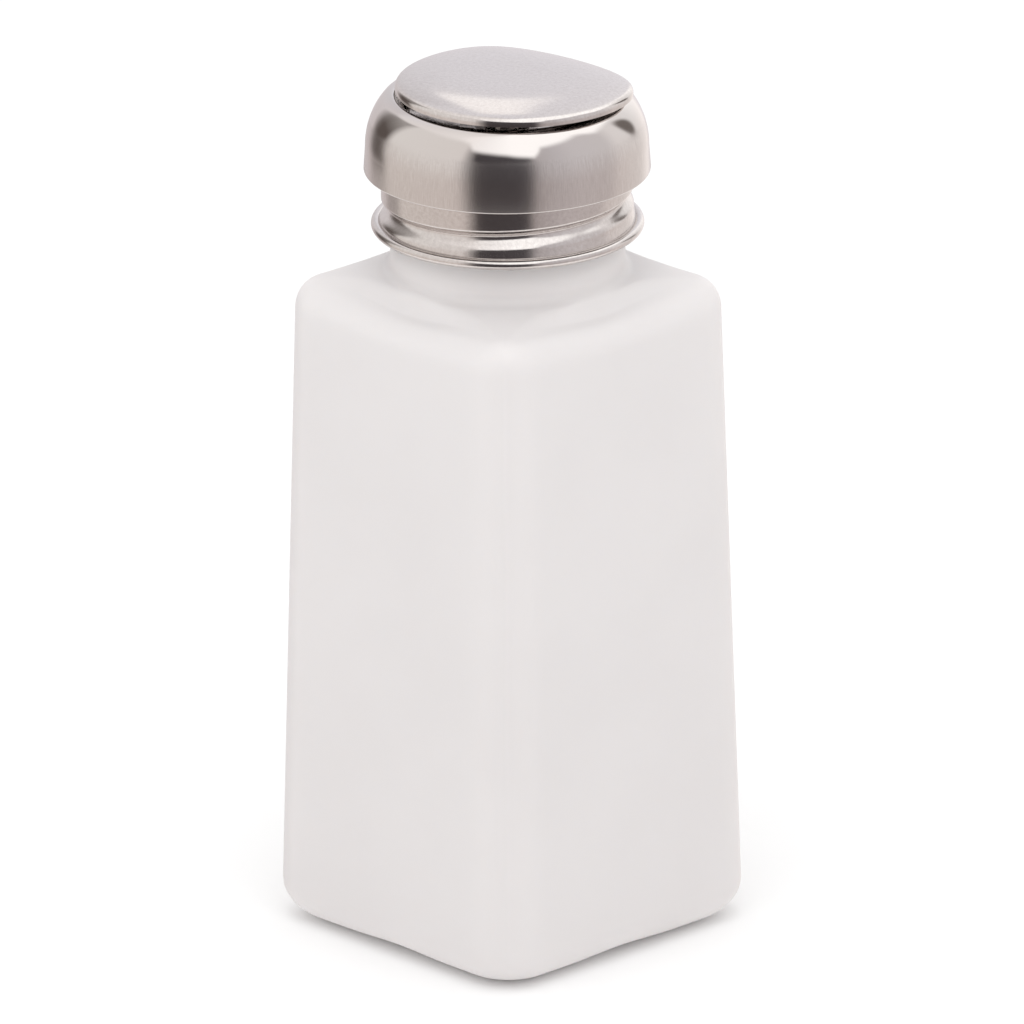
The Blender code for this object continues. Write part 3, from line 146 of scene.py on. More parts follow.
# Surfaces: the sizes of their grain, and where the dome's polish starts. Real brush lines are about a tenth
# as wide as here, too fine to show from where the camera stands.
PEEL_SIZE = 0.9 * MM
PEEL_DEPTH = 0.02 * MM
WAVE_SIZE = 14 * MM
WAVE_WEIGHT = 6.0
CLOUD_SIZE = 28 * MM
SCATTER_REACH = 4.0 * MM
# Painted shade: the bottle's colour is scaled by this at its foot and rises to full at the shoulder, standing
# in for less light near the floor
FOOT_PAINTED_SHADE = 0.962
BRUSH_LINE = 0.15 * MM
BRUSH_STRETCH = 0.06
MOTTLE_SIZE = 0.55 * MM
BROAD_SIZE = 7 * MM
STEEL_RELIEF = 0.01 * MM
POLISH_HEIGHT = 130.4 * MM
POLISH_EDGE = 0.3 * MM
POLISHED_RELIEF = 0.75
MOULDED_GRAIN = 0.6 * MM
MOULDED_RELIEF = 0.01 * MM

# How finely the shells are divided, and the angles in degrees from which their edges look sharp
SIDE_STEPS = 6
CORNER_STEPS = 12
QUARTER = 2 * SIDE_STEPS + CORNER_STEPS + 2
SEAM_STEP = QUARTER // 2
ROUND_SIDES = 144
FINE_ARC = 8
GROOVE_ROWS = 44
ROOF_ROWS = 8
WALL_ROWS = 12
ROOT_ROWS = 4
LID_ROWS = 12
SHARP_EDGE = 32
SHARP_NECK_EDGE = 50
SHARP_CURL_EDGE = 40

# Camera, from the bottle's vanishing lines and the widths in the photograph
CAMERA_AZIMUTH = math.radians(46.35)
CAMERA_ELEVATION = math.radians(19.87)
CAMERA_DISTANCE = 4.3
CAMERA_ROLL = math.radians(0.386)
CAMERA_LENS = 980.0
SENSOR_WIDTH = 36.0
AIM_HEIGHT = 66.03 * MM
AIM_RIGHT = 0.373 * MM
FAR_CLIP = 100.0

# Light tent, floor and lamp: bearings in degrees from the camera, right positive, and heights in degrees
TENT_LIGHT = 0.94
TENT_IN_STEEL = 1.6
WALL_EDGE_SOFTNESS = 5.0
SHADE_MIDDLE = -3.0
SHADE_SOFTNESS = 20.0
GROUND_LEVEL = -33.0
GROUND_SOFTNESS = 4.0
WINDOW_LEFT = 4.8
WINDOW_LEFT_SOFTNESS = 1.0
WINDOW_RIGHT = -0.5
WINDOW_RIGHT_SOFTNESS = 3.0
WINDOW_BOTTOM = 25.5
WINDOW_TOP = 43.5
WINDOW_SOFTNESS = 1.5
LEFT_PATCH_LEAN = -10.0
LEFT_PATCH_LEAN_TOP = 40.0
LEFT_PATCH_FOOT = -17.0
LEFT_PATCH_FOOT_SOFTNESS = 4.0
LEFT_PATCH_FOOT_SHARE = 0.35
LEFT_PATCH_HAZE_FROM = 8.0
LEFT_PATCH_HAZE_TO = 30.0
LEFT_PATCH_HAZE_SHARE = 0.6
RIGHT_PATCH_BEARING = 124
RIGHT_PATCH_HEIGHT = 12.0
RIGHT_PATCH_LEAN = 0.45
RIGHT_PATCH_WIDTH = 8.0
RIGHT_PATCH_TALL = 17.0
RIGHT_PATCH_OUTER = 1.1
RIGHT_PATCH_INNER = 0.5
FLOOR_REACH = 6.0
FLOOR_DROP = 0.1 * MM
FLOOR_GLOW = 0.04
LAMP_SIZE = 0.9
LAMP_POWER = 2.9
LAMP_PLACE = Vector((0.29, -0.30, 1.2))
LAMP_AIM = Vector((0, 0, 0.1))


def linear(colour):
    """An sRGB hex colour as linear red, green, blue and alpha."""
    channels = [int(colour[i:i + 2], 16) / 255 for i in (1, 3, 5)]
    return (*[c / 12.92 if c <= 0.04045 else ((c + 0.055) / 1.055) ** 2.4 for c in channels], 1.0)


def add_node(tree, kind, settings=None, **sockets):
    """Adds a node. Settings are its own options; sockets are input values, or the outputs to link there."""
    node = tree.nodes.new(kind)
    for name, value in (settings or {}).items():
        setattr(node, name, value)
    for name, value in sockets.items():
        key = int(name[1:]) if name[0] == "i" and name[1:].isdigit() else name.replace("_", " ")
        if isinstance(value, bpy.types.NodeSocket):
            tree.links.new(value, node.inputs[key])
        else:
            node.inputs[key].default_value = value
    return node


def ramp(tree, value, stops, blend="EASE"):
    """A colour ramp with stops of (position, hex colour)."""
    node = add_node(tree, "ShaderNodeValToRGB", Fac=value)
    node.color_ramp.interpolation = blend
    points = node.color_ramp.elements
    while len(points) < len(stops):
        points.new(0.5)
    for point, (place, colour) in zip(points, stops):
        point.position = place
        point.color = linear(colour)
    return node.outputs["Color"]


def new_material(name):
    material = bpy.data.materials.new(name)
    material.use_nodes = True
    return material, material.node_tree, material.node_tree.nodes["Principled BSDF"]


def place_piece(name, mesh, material, body, replaced=(), turn=None):
    """Makes a piece that rides on a body. It stands for the nodes named in replaced, which it hides."""
    piece = bpy.data.objects.new(name, mesh)
    bpy.context.scene.collection.objects.link(piece)
    if turn:
        mesh.transform(turn)
    mesh.materials.append(material)
    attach(piece, body)
    if replaced:
        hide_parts(*replaced)
    return piece


def finish_mesh(name, bm, sharp_degrees=SHARP_EDGE):
    bmesh.ops.recalc_face_normals(bm, faces=bm.faces)
    mesh = bpy.data.meshes.new(name)
    bm.to_mesh(mesh)
    bm.free()
    mesh.shade_smooth()
    mesh.set_sharp_from_angle(angle=math.radians(sharp_degrees))
    return mesh


def loft(name, rings, closed, sharp_degrees=SHARP_EDGE):
    """Skins rings of as many points each. A ring of one point closes an end, and closed joins both ends."""
    bm = bmesh.new()
    rows = [[bm.verts.new(point) for point in ring] for ring in rings]
    pairs = list(zip(rows, rows[1:]))
    if closed:
        pairs.append((rows[-1], rows[0]))
    for lower, upper in pairs:
        count = max(len(lower), len(upper))
        for i in range(count):
            j = (i + 1) % count
            if len(lower) == 1:
                bm.faces.new((lower[0], upper[j], upper[i]))
            elif len(upper) == 1:
                bm.faces.new((lower[i], lower[j], upper[0]))
            else:
                bm.faces.new((lower[i], lower[j], upper[j], upper[i]))
    return finish_mesh(name, bm, sharp_degrees)


def circle(radius, height, count):
    angles = [math.tau * i / count for i in range(count)]
    return [Vector((radius * math.cos(a), radius * math.sin(a), height)) for a in angles]


def lathe(name, outline, sides=ROUND_SIDES):
    """Spins a closed outline of (radius, height) points. A point on the axis closes an end."""
    on_axis = outline[0][0] == 0
    rings = [[Vector((0, 0, height))] if radius == 0 else circle(radius, height, sides)
             for radius, height in outline]
    return loft(name, rings, closed=not on_axis)


def arc(centre, radius, start, end, steps):
    """Points on an arc about a centre, with angles in radians from the direction of growing radius."""
    angles = [start + (end - start) * i / steps for i in range(steps + 1)]
    return [(centre[0] + radius * math.cos(a), centre[1] + radius * math.sin(a)) for a in angles]


def offset_path(path, distance):
    """The path moved to the left of its direction, with mitred corners."""
    moved = []
    for i, (radius, height) in enumerate(path):
        normals = []
        for a, b in ((path[max(i - 1, 0)], path[i]), (path[i], path[min(i + 1, len(path) - 1)])):
            run = Vector((b[0] - a[0], b[1] - a[1]))
            if run.length > 0:
                normals.append(Vector((-run.y, run.x)).normalized())
        middle = sum(normals, Vector((0, 0))).normalized()
        stretch = distance / middle.dot(normals[0])
        moved.append((radius + middle.x * stretch, height + middle.y * stretch))
    return moved


def sheet_outline(path, thickness):
    return path + offset_path(path, thickness)[::-1]


def box_mesh(name, low, high):
    bm = bmesh.new()
    bmesh.ops.create_cube(bm, size=1)
    bmesh.ops.scale(bm, vec=Vector(high) - Vector(low), verts=bm.verts)
    bmesh.ops.translate(bm, vec=(Vector(high) + Vector(low)) / 2, verts=bm.verts)
    return finish_mesh(name, bm)


def cut(mesh, cutters):
    """The mesh with the cutters taken away, as a new mesh."""
    body = bpy.data.objects.new("cut_body", mesh)
    bpy.context.scene.collection.objects.link(body)
    tools = []
    for cutter in cutters:
        tool = bpy.data.objects.new("cut_tool", cutter)
        bpy.context.scene.collection.objects.link(tool)
        modifier = body.modifiers.new("cut", "BOOLEAN")
        modifier.operation = "DIFFERENCE"
        modifier.solver = "EXACT"
        modifier.object = tool
        tools.append(tool)
    bpy.context.view_layer.update()
    graph = bpy.context.evaluated_depsgraph_get()
    result = bpy.data.meshes.new_from_object(body.evaluated_get(graph))
    result.name = mesh.name
    for item in [body, *tools]:
        bpy.data.objects.remove(item, do_unlink=True)
    result.materials.clear()
    result.shade_smooth()
    result.set_sharp_from_angle(angle=math.radians(SHARP_EDGE))
    return result


# Bottle shell

def square_ring(half, corner, height):
    """A square with rounded corners: in each quarter, half a side, a corner and half a side."""
    flat = half - corner
    quarter = [(half, flat * i / SIDE_STEPS) for i in range(SIDE_STEPS)]
    near = arc((flat, flat), corner, 0, math.pi / 4, CORNER_STEPS // 2)
    line = arc((flat, flat), corner, math.pi / 4 - SEAM_HALF_ANGLE, math.pi / 4 + SEAM_HALF_ANGLE, 2)
    far = arc((flat, flat), corner, math.pi / 4, math.pi / 2, CORNER_STEPS // 2)
    quarter += near[:-1] + line + far[1:]
    quarter += [(flat * i / SIDE_STEPS, half) for i in range(SIDE_STEPS - 1, 0, -1)]
    ring = []
    for turn in range(4):
        spin = Matrix.Rotation(turn * math.pi / 2, 3, "Z")
        ring += [spin @ Vector((x, y, height)) for x, y in quarter]
    return ring


def body_half(height):
    return (BASE_SIDE + (SHOULDER_SIDE - BASE_SIDE) * height / SHOULDER_HEIGHT) / 2


def body_corner(height):
    return BASE_CORNER_ROUND + (TOP_CORNER_ROUND - BASE_CORNER_ROUND) * height / SHOULDER_HEIGHT


def arch_lift(point):
    """How far the base is lifted at this bearing: not at the corner feet, most at the middle of a side."""
    bearing = math.atan2(point.y, point.x) % (math.pi / 2)
    share = min(min(bearing, math.pi / 2 - bearing) / FOOT_BEARING, 1)
    return BASE_ARCH * (1 + math.cos(math.pi * share)) / 2


def ridge_share(point):
    """Nothing at the middle of each side of the bottle, and one at each corner."""
    return (1 - math.cos(4 * math.atan2(point.y, point.x))) / 2


def heel_rings(wall):
    radius = HEEL_ROUND - wall
    full = body_half(HEEL_ROUND)
    rings = []
    for i in range(FINE_ARC + 1):
        angle = math.pi / 2 * i / FINE_ARC
        half = full - HEEL_ROUND + radius * math.sin(angle)
        height = HEEL_ROUND - radius * math.cos(angle)
        ring = square_ring(half, body_corner(HEEL_ROUND) * half / full, height)
        rings.append([point + Vector((0, 0, arch_lift(point) * math.cos(angle))) for point in ring])
    return rings


def shoulder_rings(wall):
    bend = math.pi / 2 - SHOULDER_PITCH
    start = SHOULDER_HEIGHT - SHOULDER_ROUND * math.tan(bend / 2)
    full = body_half(start)
    rings = []
    for i in range(FINE_ARC + 1):
        share = i / FINE_ARC
        angle = bend * share
        half = full - SHOULDER_ROUND * (1 - math.cos(angle)) - wall * math.cos(angle)
        height = start + SHOULDER_ROUND * math.sin(angle) - wall * math.sin(angle)
        corner = body_corner(start) * half / full * (1 + (SHOULDER_CORNER_SHARE - 1) * share ** 1.5)
        ring = square_ring(half, corner, height)
        sag = SHOULDER_SAG * share
        rings.append([point - Vector((0, 0, sag * (1 - ridge_share(point)))) for point in ring])
    return rings


def crease_ring(radius, rise):
    """A circle where the neck meets the shoulder."""
    return circle(radius, NECK_CREASE_HEIGHT + rise, 4 * QUARTER)


def blended_rings(first, last, steps, bends=None):
    """Rings part of the way from one to another, both ends left out, by way of the bend points if given."""
    rings = []
    for i in range(1, steps):
        share = i / steps
        ring = [a.lerp(b, share) for a, b in zip(first, last)]
        if bends:
            way = [(a.lerp(c, share), c.lerp(b, share)) for a, b, c in zip(first, last, bends)]
            ring = [near.lerp(far, share) for near, far in way]
        rings.append(ring)
    return rings


def cove_bends(before, edge, crease):
    """Points that bend the shoulder's roof into a shallow cove, partly the way that the soft edge leads."""
    bends = []
    for start, middle, end in zip(before, edge, crease):
        onward = (middle - start).normalized() * (end - middle).length / 2
        bends.append(middle.lerp(end, 0.5).lerp(middle + onward, SHOULDER_COVE_SHARE))
    return bends


def bottle_outside():
    """The outside from the heel up to the top of the neck's root, ring by ring."""
    heel = heel_rings(0)
    shoulder = shoulder_rings(0)
    crease = crease_ring(NECK_ROOT_RADIUS + NECK_ROOT_FILLET, -NECK_ROOT_FILLET / 2)
    root = crease_ring(NECK_ROOT_RADIUS, NECK_ROOT_FILLET)
    rings = heel + blended_rings(heel[-1], shoulder[0], WALL_ROWS) + shoulder
    cove = cove_bends(shoulder[-2], shoulder[-1], crease)
    rings += blended_rings(shoulder[-1], crease, ROOF_ROWS, cove)
    rings.append(crease)
    rings += blended_rings(crease, root, ROOT_ROWS, crease_ring(NECK_ROOT_RADIUS, 0))
    rings += [root, circle(NECK_ROOT_RADIUS, NECK_ROOT_TOP, 4 * QUARTER)]
    return [with_seam(ring) for ring in rings]


def with_seam(ring):
    """The ring with the mould's parting line: a very low ridge at the front corner and at the back one."""
    for quarter in SEAM_QUARTERS:
        index = quarter * QUARTER + SEAM_STEP
        outward = Vector((ring[index].x, ring[index].y, 0)).normalized()
        ring[index] = ring[index] + outward * SEAM_PROUD
    return ring


def bottle_mesh():
    count = 4 * QUARTER
    foot_half = body_half(HEEL_ROUND) - HEEL_ROUND
    inner_half = foot_half - FOOT_WIDTH
    slope_half = inner_half - PUSH_UP_SLOPE_WIDTH
    corner_share = body_corner(HEEL_ROUND) / body_half(HEEL_ROUND)
    inner_ring = square_ring(inner_half, corner_share * inner_half, 0)
    outside = [[Vector((0, 0, PUSH_UP))], square_ring(slope_half, corner_share * slope_half, PUSH_UP)]
    outside.append([point + Vector((0, 0, arch_lift(point))) for point in inner_ring])
    outside += bottle_outside()
    outside.append(circle(NECK_RADIUS, NECK_ROOT_TOP + NECK_TAPER_RISE, count))
    outside.append(circle(NECK_RADIUS, NECK_TOP - NECK_LIP_CHAMFER, count))
    outside.append(circle(NECK_RADIUS - NECK_LIP_CHAMFER, NECK_TOP, count))
    inside = [circle(NECK_BORE_RADIUS, NECK_TOP, count)]
    inside.append(crease_ring(NECK_BORE_RADIUS, NECK_ROOT_FILLET - BOTTLE_WALL))
    inside.append(crease_ring(NECK_BORE_RADIUS + NECK_ROOT_FILLET, -BOTTLE_WALL))
    inside += shoulder_rings(BOTTLE_WALL)[::-1]
    inside += heel_rings(BOTTLE_WALL)[::-1]
    inside.append(square_ring(slope_half, corner_share * slope_half, PUSH_UP + BOTTLE_WALL))
    inside.append([Vector((0, 0, PUSH_UP + BOTTLE_WALL))])
    return loft("bottle_shell", outside + inside, closed=False, sharp_degrees=SHARP_NECK_EDGE)


def thread_mesh():
    """The neck's thread: one ridge wound round it, with ends that run out to nothing."""
    steps = round(THREAD_TURNS * ROUND_SIDES)
    first = (THREAD_START_HEIGHT - GROOVE_START_HEIGHT - THREAD_LIFT) / THREAD_PITCH
    bm = bmesh.new()
    rows = []
    for i in range(steps + 1):
        turn = first + THREAD_TURNS * i / steps
        bearing = CAP_TURN + GROOVE_BEARING + math.tau * turn
        middle = GROOVE_START_HEIGHT + THREAD_PITCH * turn + THREAD_LIFT
        fade = min(1, THREAD_FADES_PER_TURN * min(i, steps - i) / ROUND_SIDES + THREAD_FADE_SHARE)
        top = THREAD_ROOT_RADIUS + (THREAD_CREST_RADIUS - THREAD_ROOT_RADIUS) * fade
        section = ((THREAD_ROOT_RADIUS, -THREAD_ROOT_WIDTH / 2), (top, -THREAD_CREST_WIDTH / 2),
                   (top, THREAD_CREST_WIDTH / 2), (THREAD_ROOT_RADIUS, THREAD_ROOT_WIDTH / 2))
        rows.append([bm.verts.new((radius * math.cos(bearing), radius * math.sin(bearing), middle + rise))
                     for radius, rise in section])
    for a, b in zip(rows, rows[1:]):
        for i in range(4):
            j = (i + 1) % 4
            bm.faces.new((a[i], a[j], b[j], b[i]))
    bm.faces.new(rows[0][::-1])
    bm.faces.new(rows[-1])
    return finish_mesh("neck_thread_ridge", bm)


# Cap shells

def groove_at(bearing, height):
    """How deep the rolled groove is at a point of the collar's wall."""
    deepest = 0
    start = (bearing - GROOVE_BEARING) / math.tau % 1
    for lap in range(math.ceil(GROOVE_TURNS) + 1):
        turn = start + lap
        above = height - GROOVE_START_HEIGHT - THREAD_PITCH * turn
        away = above / GROOVE_UPPER_WIDTH if above > 0 else -above / GROOVE_LOWER_WIDTH
        if turn > GROOVE_TURNS or away >= 1:
            continue
        fade = min(1, turn / GROOVE_RUN_OUT, (GROOVE_TURNS - turn) / GROOVE_RUN_OUT)
        deepest = max(deepest, GROOVE_DEPTH * fade * (1 + math.cos(math.pi * away)) / 2)
    return deepest


def flare_at(height):
    """How far the collar's wall flares outwards at a height, most at the curl."""
    share = min(max((height - CURL_HEIGHT) / COLLAR_FLARE_RISE, 0), 1)
    return COLLAR_FLARE * (1 + math.cos(math.pi * share)) / 2


def collar_mesh():
    low = CURL_HEIGHT + CURL_WIRE
    high = GROOVE_START_HEIGHT + THREAD_PITCH * GROOVE_TURNS + GROOVE_UPPER_WIDTH
    rows = [high + (low - high) * i / GROOVE_ROWS for i in range(GROOVE_ROWS + 1)]
    inside_radius = COLLAR_RADIUS - SHEET
    outside = [(COLLAR_HOLE_RADIUS, COLLAR_TOP)]
    corner = (COLLAR_RADIUS - COLLAR_CORNER_ROUND, COLLAR_TOP - COLLAR_CORNER_ROUND)
    outside += arc(corner, COLLAR_CORNER_ROUND, math.pi / 2, 0, FINE_ARC)
    outside += [(COLLAR_RADIUS, row) for row in rows]
    outside += arc((CURL_RADIUS, CURL_HEIGHT), CURL_WIRE, CURL_START, -math.pi / 2, 2 * FINE_ARC)
    outside.append((COLLAR_RADIUS, CURL_HEIGHT - CURL_WIRE))
    inside = [(inside_radius, CURL_HEIGHT)]
    inside += [(inside_radius, row) for row in rows[::-1]]
    inside.append((inside_radius, COLLAR_TOP - SHEET - COLLAR_CORNER_ROUND / 2))
    inside.append((inside_radius - COLLAR_CORNER_ROUND / 2, COLLAR_TOP - SHEET))
    inside.append((COLLAR_HOLE_RADIUS, COLLAR_TOP - SHEET))
    rings = []
    for radius, height in outside + inside:
        ring = circle(radius, height, ROUND_SIDES)
        if radius in (COLLAR_RADIUS, inside_radius):
            for i, point in enumerate(ring):
                share = 1 + (flare_at(height) - groove_at(math.tau * i / ROUND_SIDES, height)) / radius
                ring[i] = Vector((point.x * share, point.y * share, height))
        rings.append(ring)
    return loft("collar_shell", rings, closed=True, sharp_degrees=SHARP_CURL_EDGE)


def dome_path():
    """The dome ring's outer face, from the skirt's lower edge up over the crown and down the hem."""
    foot = SKIRT_BOTTOM + SKIRT_HEIGHT
    middle = SKIRT_RADIUS - SKIRT_TAPER - CROWN_REACH
    path = [(SKIRT_RADIUS, SKIRT_BOTTOM + DOME_SHEET / 2)]
    steps = 3 * FINE_ARC
    for i in range(steps + 1):
        angle = CROWN_SWEEP * i / steps
        path.append((middle + CROWN_REACH * math.cos(angle), foot + CROWN_RISE * math.sin(angle)))
    slope = math.atan2(CROWN_RISE * math.cos(CROWN_SWEEP), CROWN_REACH * math.sin(CROWN_SWEEP))
    for round_size, end_slope in ((LIP_ROUND, LIP_END_SLOPE), (HEM_ROUND, -math.pi / 2)):
        radius, height = path[-1]
        for i in range(1, FINE_ARC + 1):
            heading = slope + (end_slope - slope) * i / FINE_ARC
            path.append((radius - round_size * (math.sin(slope) - math.sin(heading)),
                         height + round_size * (math.cos(heading) - math.cos(slope))))
        slope = end_slope
    radius, height = path[-1]
    path.append((radius, height - HEM_DEPTH))
    return path


DOME_PATH = dome_path()
DOME_TOP = max(height for radius, height in DOME_PATH)
OPENING_RADIUS = min(radius for radius, height in DOME_PATH)
CUP_RADIUS = OPENING_RADIUS - CUP_GAP
LID_RIM_BOTTOM = DOME_TOP + LID_ABOVE_DOME
PIN_HEIGHT = LID_RIM_BOTTOM - PIN_BELOW_LID
PIN_REACH = OPENING_RADIUS + PIN_BEHIND_RIM


def dome_mesh():
    """The dome ring with a rounded lower edge, cut through at the back for the hinge."""
    edge_middle = (SKIRT_RADIUS - DOME_SHEET / 2, SKIRT_BOTTOM + DOME_SHEET / 2)
    edge = arc(edge_middle, DOME_SHEET / 2, math.pi, math.tau, FINE_ARC)[1:-1]
    return cut(lathe("dome_shell", sheet_outline(DOME_PATH, DOME_SHEET) + edge), [hinge_slot_mesh()])


def hinge_slot_mesh():
    reach = KNUCKLE_RADIUS + HINGE_SLOT_MARGIN
    half = HINGE_WIDTH / 2 + HINGE_SLOT_MARGIN
    low = (-half, CUP_RADIUS - SHEET - CUT_OVERRUN, PIN_HEIGHT - reach)
    high = (half, PIN_REACH + reach, PIN_HEIGHT + reach + CUT_OVERRUN)
    return box_mesh("hinge_slot", low, high)


def lid_top(reach):
    """The lid's top face over a distance from its own middle."""
    edge = LID_RADIUS - LID_EDGE_ROUND * (1 - math.sin(LID_EDGE_SLOPE))
    shoulder = LID_RIM_BOTTOM + LID_EDGE_DROP + LID_EDGE_ROUND * math.cos(LID_EDGE_SLOPE)
    return shoulder + LID_CROWN * (1 - (reach / edge) ** LID_CROWN_POWER)


def lid_reach_share(bearing):
    """The lid's outline: a circle, flattened to a wider arc towards the hinge, with rounded corners."""
    from_hinge = bearing - math.pi / 2
    middle = LID_BACK_REACH - LID_BACK_ROUND
    under_root = LID_BACK_ROUND ** 2 - (middle * math.sin(from_hinge)) ** 2
    share = (middle * math.cos(from_hinge) + math.sqrt(under_root)) / LID_RADIUS
    return (1 + share ** -LID_BACK_BLEND) ** (-1 / LID_BACK_BLEND)


def lid_mesh():
    edge_middle = LID_RADIUS - LID_EDGE_ROUND
    edge = edge_middle + LID_EDGE_ROUND * math.sin(LID_EDGE_SLOPE)
    top = [(edge * i / LID_ROWS, lid_top(edge * i / LID_ROWS)) for i in range(1, LID_ROWS)]
    rim = (edge_middle, LID_RIM_BOTTOM + LID_EDGE_DROP)
    top += arc(rim, LID_EDGE_ROUND, math.pi / 2 - LID_EDGE_SLOPE, 0, FINE_ARC)
    top.append((LID_RADIUS, LID_RIM_BOTTOM))
    under = offset_path(top, -SHEET)
    under[-1] = (under[-1][0], LID_RIM_BOTTOM)
    rings = [[Vector((LID_SIDE_SHIFT, LID_SHIFT, lid_top(0)))]]
    for radius, height in top + under[::-1]:
        ring = circle(1, height, ROUND_SIDES)
        for i, point in enumerate(ring):
            reach = radius * lid_reach_share(math.tau * i / ROUND_SIDES)
            ring[i] = Vector((LID_SIDE_SHIFT + reach * point.x, LID_SHIFT + reach * point.y, height))
        rings.append(ring)
    rings.append([Vector((LID_SIDE_SHIFT, LID_SHIFT, lid_top(0) - SHEET))])
    return loft("lid_shell", rings, closed=False)


# Materials

def polyethylene():
    """Natural high-density polyethylene, blow-moulded: milky, with light that spreads inside the wall, and a
    soft sheen over a faint orange-peel surface."""
    material, tree, shader = new_material("natural_hd_polyethylene")
    place = add_node(tree, "ShaderNodeTexCoord").outputs["Object"]
    cloud = add_node(tree, "ShaderNodeTexNoise", Vector=place, Scale=1 / CLOUD_SIZE, Detail=2.0)
    cast = ramp(tree, cloud.outputs["Fac"], ((0.35, "#E9E4E3"), (0.65, "#EBE6E5")))
    up = add_node(tree, "ShaderNodeSeparateXYZ", Vector=place).outputs["Z"]
    # Painted shade: the plastic's colour darkens towards the bottom, standing in for less light near the
    # floor, not a tone of the plastic
    fade = add_node(tree, "ShaderNodeMapRange", Value=up, From_Max=SHOULDER_HEIGHT, To_Min=FOOT_PAINTED_SHADE)
    tint = add_node(tree, "ShaderNodeHueSaturation", Value=fade.outputs["Result"], Color=cast)
    peel = add_node(tree, "ShaderNodeTexNoise", Vector=place, Scale=1 / PEEL_SIZE, Detail=3.0)
    wave = add_node(tree, "ShaderNodeTexNoise", Vector=place, Scale=1 / WAVE_SIZE, Detail=1.0)
    height = add_node(tree, "ShaderNodeMath", {"operation": "MULTIPLY_ADD"}, i0=wave.outputs["Fac"],
                      i1=WAVE_WEIGHT, i2=peel.outputs["Fac"])
    bump = add_node(tree, "ShaderNodeBump", Strength=0.25, Distance=PEEL_DEPTH, Height=height.outputs[0])
    tree.links.new(tint.outputs["Color"], shader.inputs["Base Color"])
    tree.links.new(bump.outputs["Normal"], shader.inputs["Normal"])
    shader.inputs["Roughness"].default_value = 0.42
    shader.inputs["IOR"].default_value = 1.53
    shader.inputs["Subsurface Weight"].default_value = 0.3
    shader.inputs["Subsurface Radius"].default_value = (1.0, 0.92, 0.85)
    shader.inputs["Subsurface Scale"].default_value = SCATTER_REACH
    return material


def stainless(name, rough, grain=0.35, lines=False, polished_above=None, smooth=0.12):
    """Stainless sheet with a fine grain, as upright brushed lines if asked. Above a height it is polished."""
    material, tree, shader = new_material(name)
    place = add_node(tree, "ShaderNodeTexCoord").outputs["Object"]
    parts = add_node(tree, "ShaderNodeSeparateXYZ", Vector=place)
    bearing = add_node(tree, "ShaderNodeMath", {"operation": "ARCTAN2"}, i0=parts.outputs["Y"],
                       i1=parts.outputs["X"])
    round_way = add_node(tree, "ShaderNodeMath", {"operation": "MULTIPLY"}, i0=bearing.outputs[0],
                         i1=SKIRT_RADIUS)
    along = add_node(tree, "ShaderNodeMath", {"operation": "MULTIPLY"}, i0=parts.outputs["Z"],
                     i1=BRUSH_STRETCH)
    unrolled = add_node(tree, "ShaderNodeCombineXYZ", X=round_way.outputs[0], Y=along.outputs[0])
    streaks = add_node(tree, "ShaderNodeTexNoise", Vector=unrolled.outputs[0], Scale=1 / BRUSH_LINE,
                       Detail=3.0)
    mottle = add_node(tree, "ShaderNodeTexNoise", Vector=place, Scale=1 / MOTTLE_SIZE, Detail=4.0,
                      Roughness=0.7)
    broad = add_node(tree, "ShaderNodeTexNoise", Vector=place, Scale=1 / BROAD_SIZE, Detail=2.0)
    pattern = streaks.outputs["Fac"] if lines else mottle.outputs["Fac"]
    mixed = add_node(tree, "ShaderNodeMath", {"operation": "MULTIPLY_ADD"}, i0=mottle.outputs["Fac"], i1=0.5,
                     i2=pattern)
    spread = add_node(tree, "ShaderNodeMapRange", Value=broad.outputs["Fac"], To_Min=rough * 0.9,
                      To_Max=rough * 1.15)
    relief = mixed.outputs[0]
    gloss = spread.outputs["Result"]
    if polished_above:
        share = add_node(tree, "ShaderNodeMapRange", Value=parts.outputs["Z"],
                         From_Min=polished_above - POLISH_EDGE,
                         From_Max=polished_above + POLISH_EDGE).outputs["Result"]
        relief = add_node(tree, "ShaderNodeMix", {"data_type": "FLOAT"}, Factor=share, A=relief,
                          B=POLISHED_RELIEF).outputs["Result"]
        gloss = add_node(tree, "ShaderNodeMix", {"data_type": "FLOAT"}, Factor=share, A=gloss,
                         B=smooth).outputs["Result"]
    tint = ramp(tree, relief, ((0.45, "#C8C2BF"), (0.95, "#D4CFCC")), "LINEAR")
    tree.links.new(tint, shader.inputs["Base Color"])
    bump = add_node(tree, "ShaderNodeBump", Strength=grain, Distance=STEEL_RELIEF, Height=relief)
    tree.links.new(bump.outputs["Normal"], shader.inputs["Normal"])
    tree.links.new(gloss, shader.inputs["Roughness"])
    shader.inputs["Metallic"].default_value = 1.0
    return material


def plain_finish(name, colour, rough, metal=0.0):
    """A simple moulded or turned finish with a little unevenness in its tone and surface."""
    material, tree, shader = new_material(name)
    place = add_node(tree, "ShaderNodeTexCoord").outputs["Object"]
    noise = add_node(tree, "ShaderNodeTexNoise", Vector=place, Scale=1 / MOULDED_GRAIN, Detail=3.0)
    shade = add_node(tree, "ShaderNodeMapRange", Value=noise.outputs["Fac"], To_Min=0.94, To_Max=1.06)
    tint = add_node(tree, "ShaderNodeHueSaturation", Value=shade.outputs["Result"], Color=linear(colour))
    bump = add_node(tree, "ShaderNodeBump", Strength=0.3, Distance=MOULDED_RELIEF,
                    Height=noise.outputs["Fac"])
    tree.links.new(tint.outputs["Color"], shader.inputs["Base Color"])
    tree.links.new(bump.outputs["Normal"], shader.inputs["Normal"])
    shader.inputs["Roughness"].default_value = rough
    shader.inputs["Metallic"].default_value = metal
    return material


# Stage, light and camera

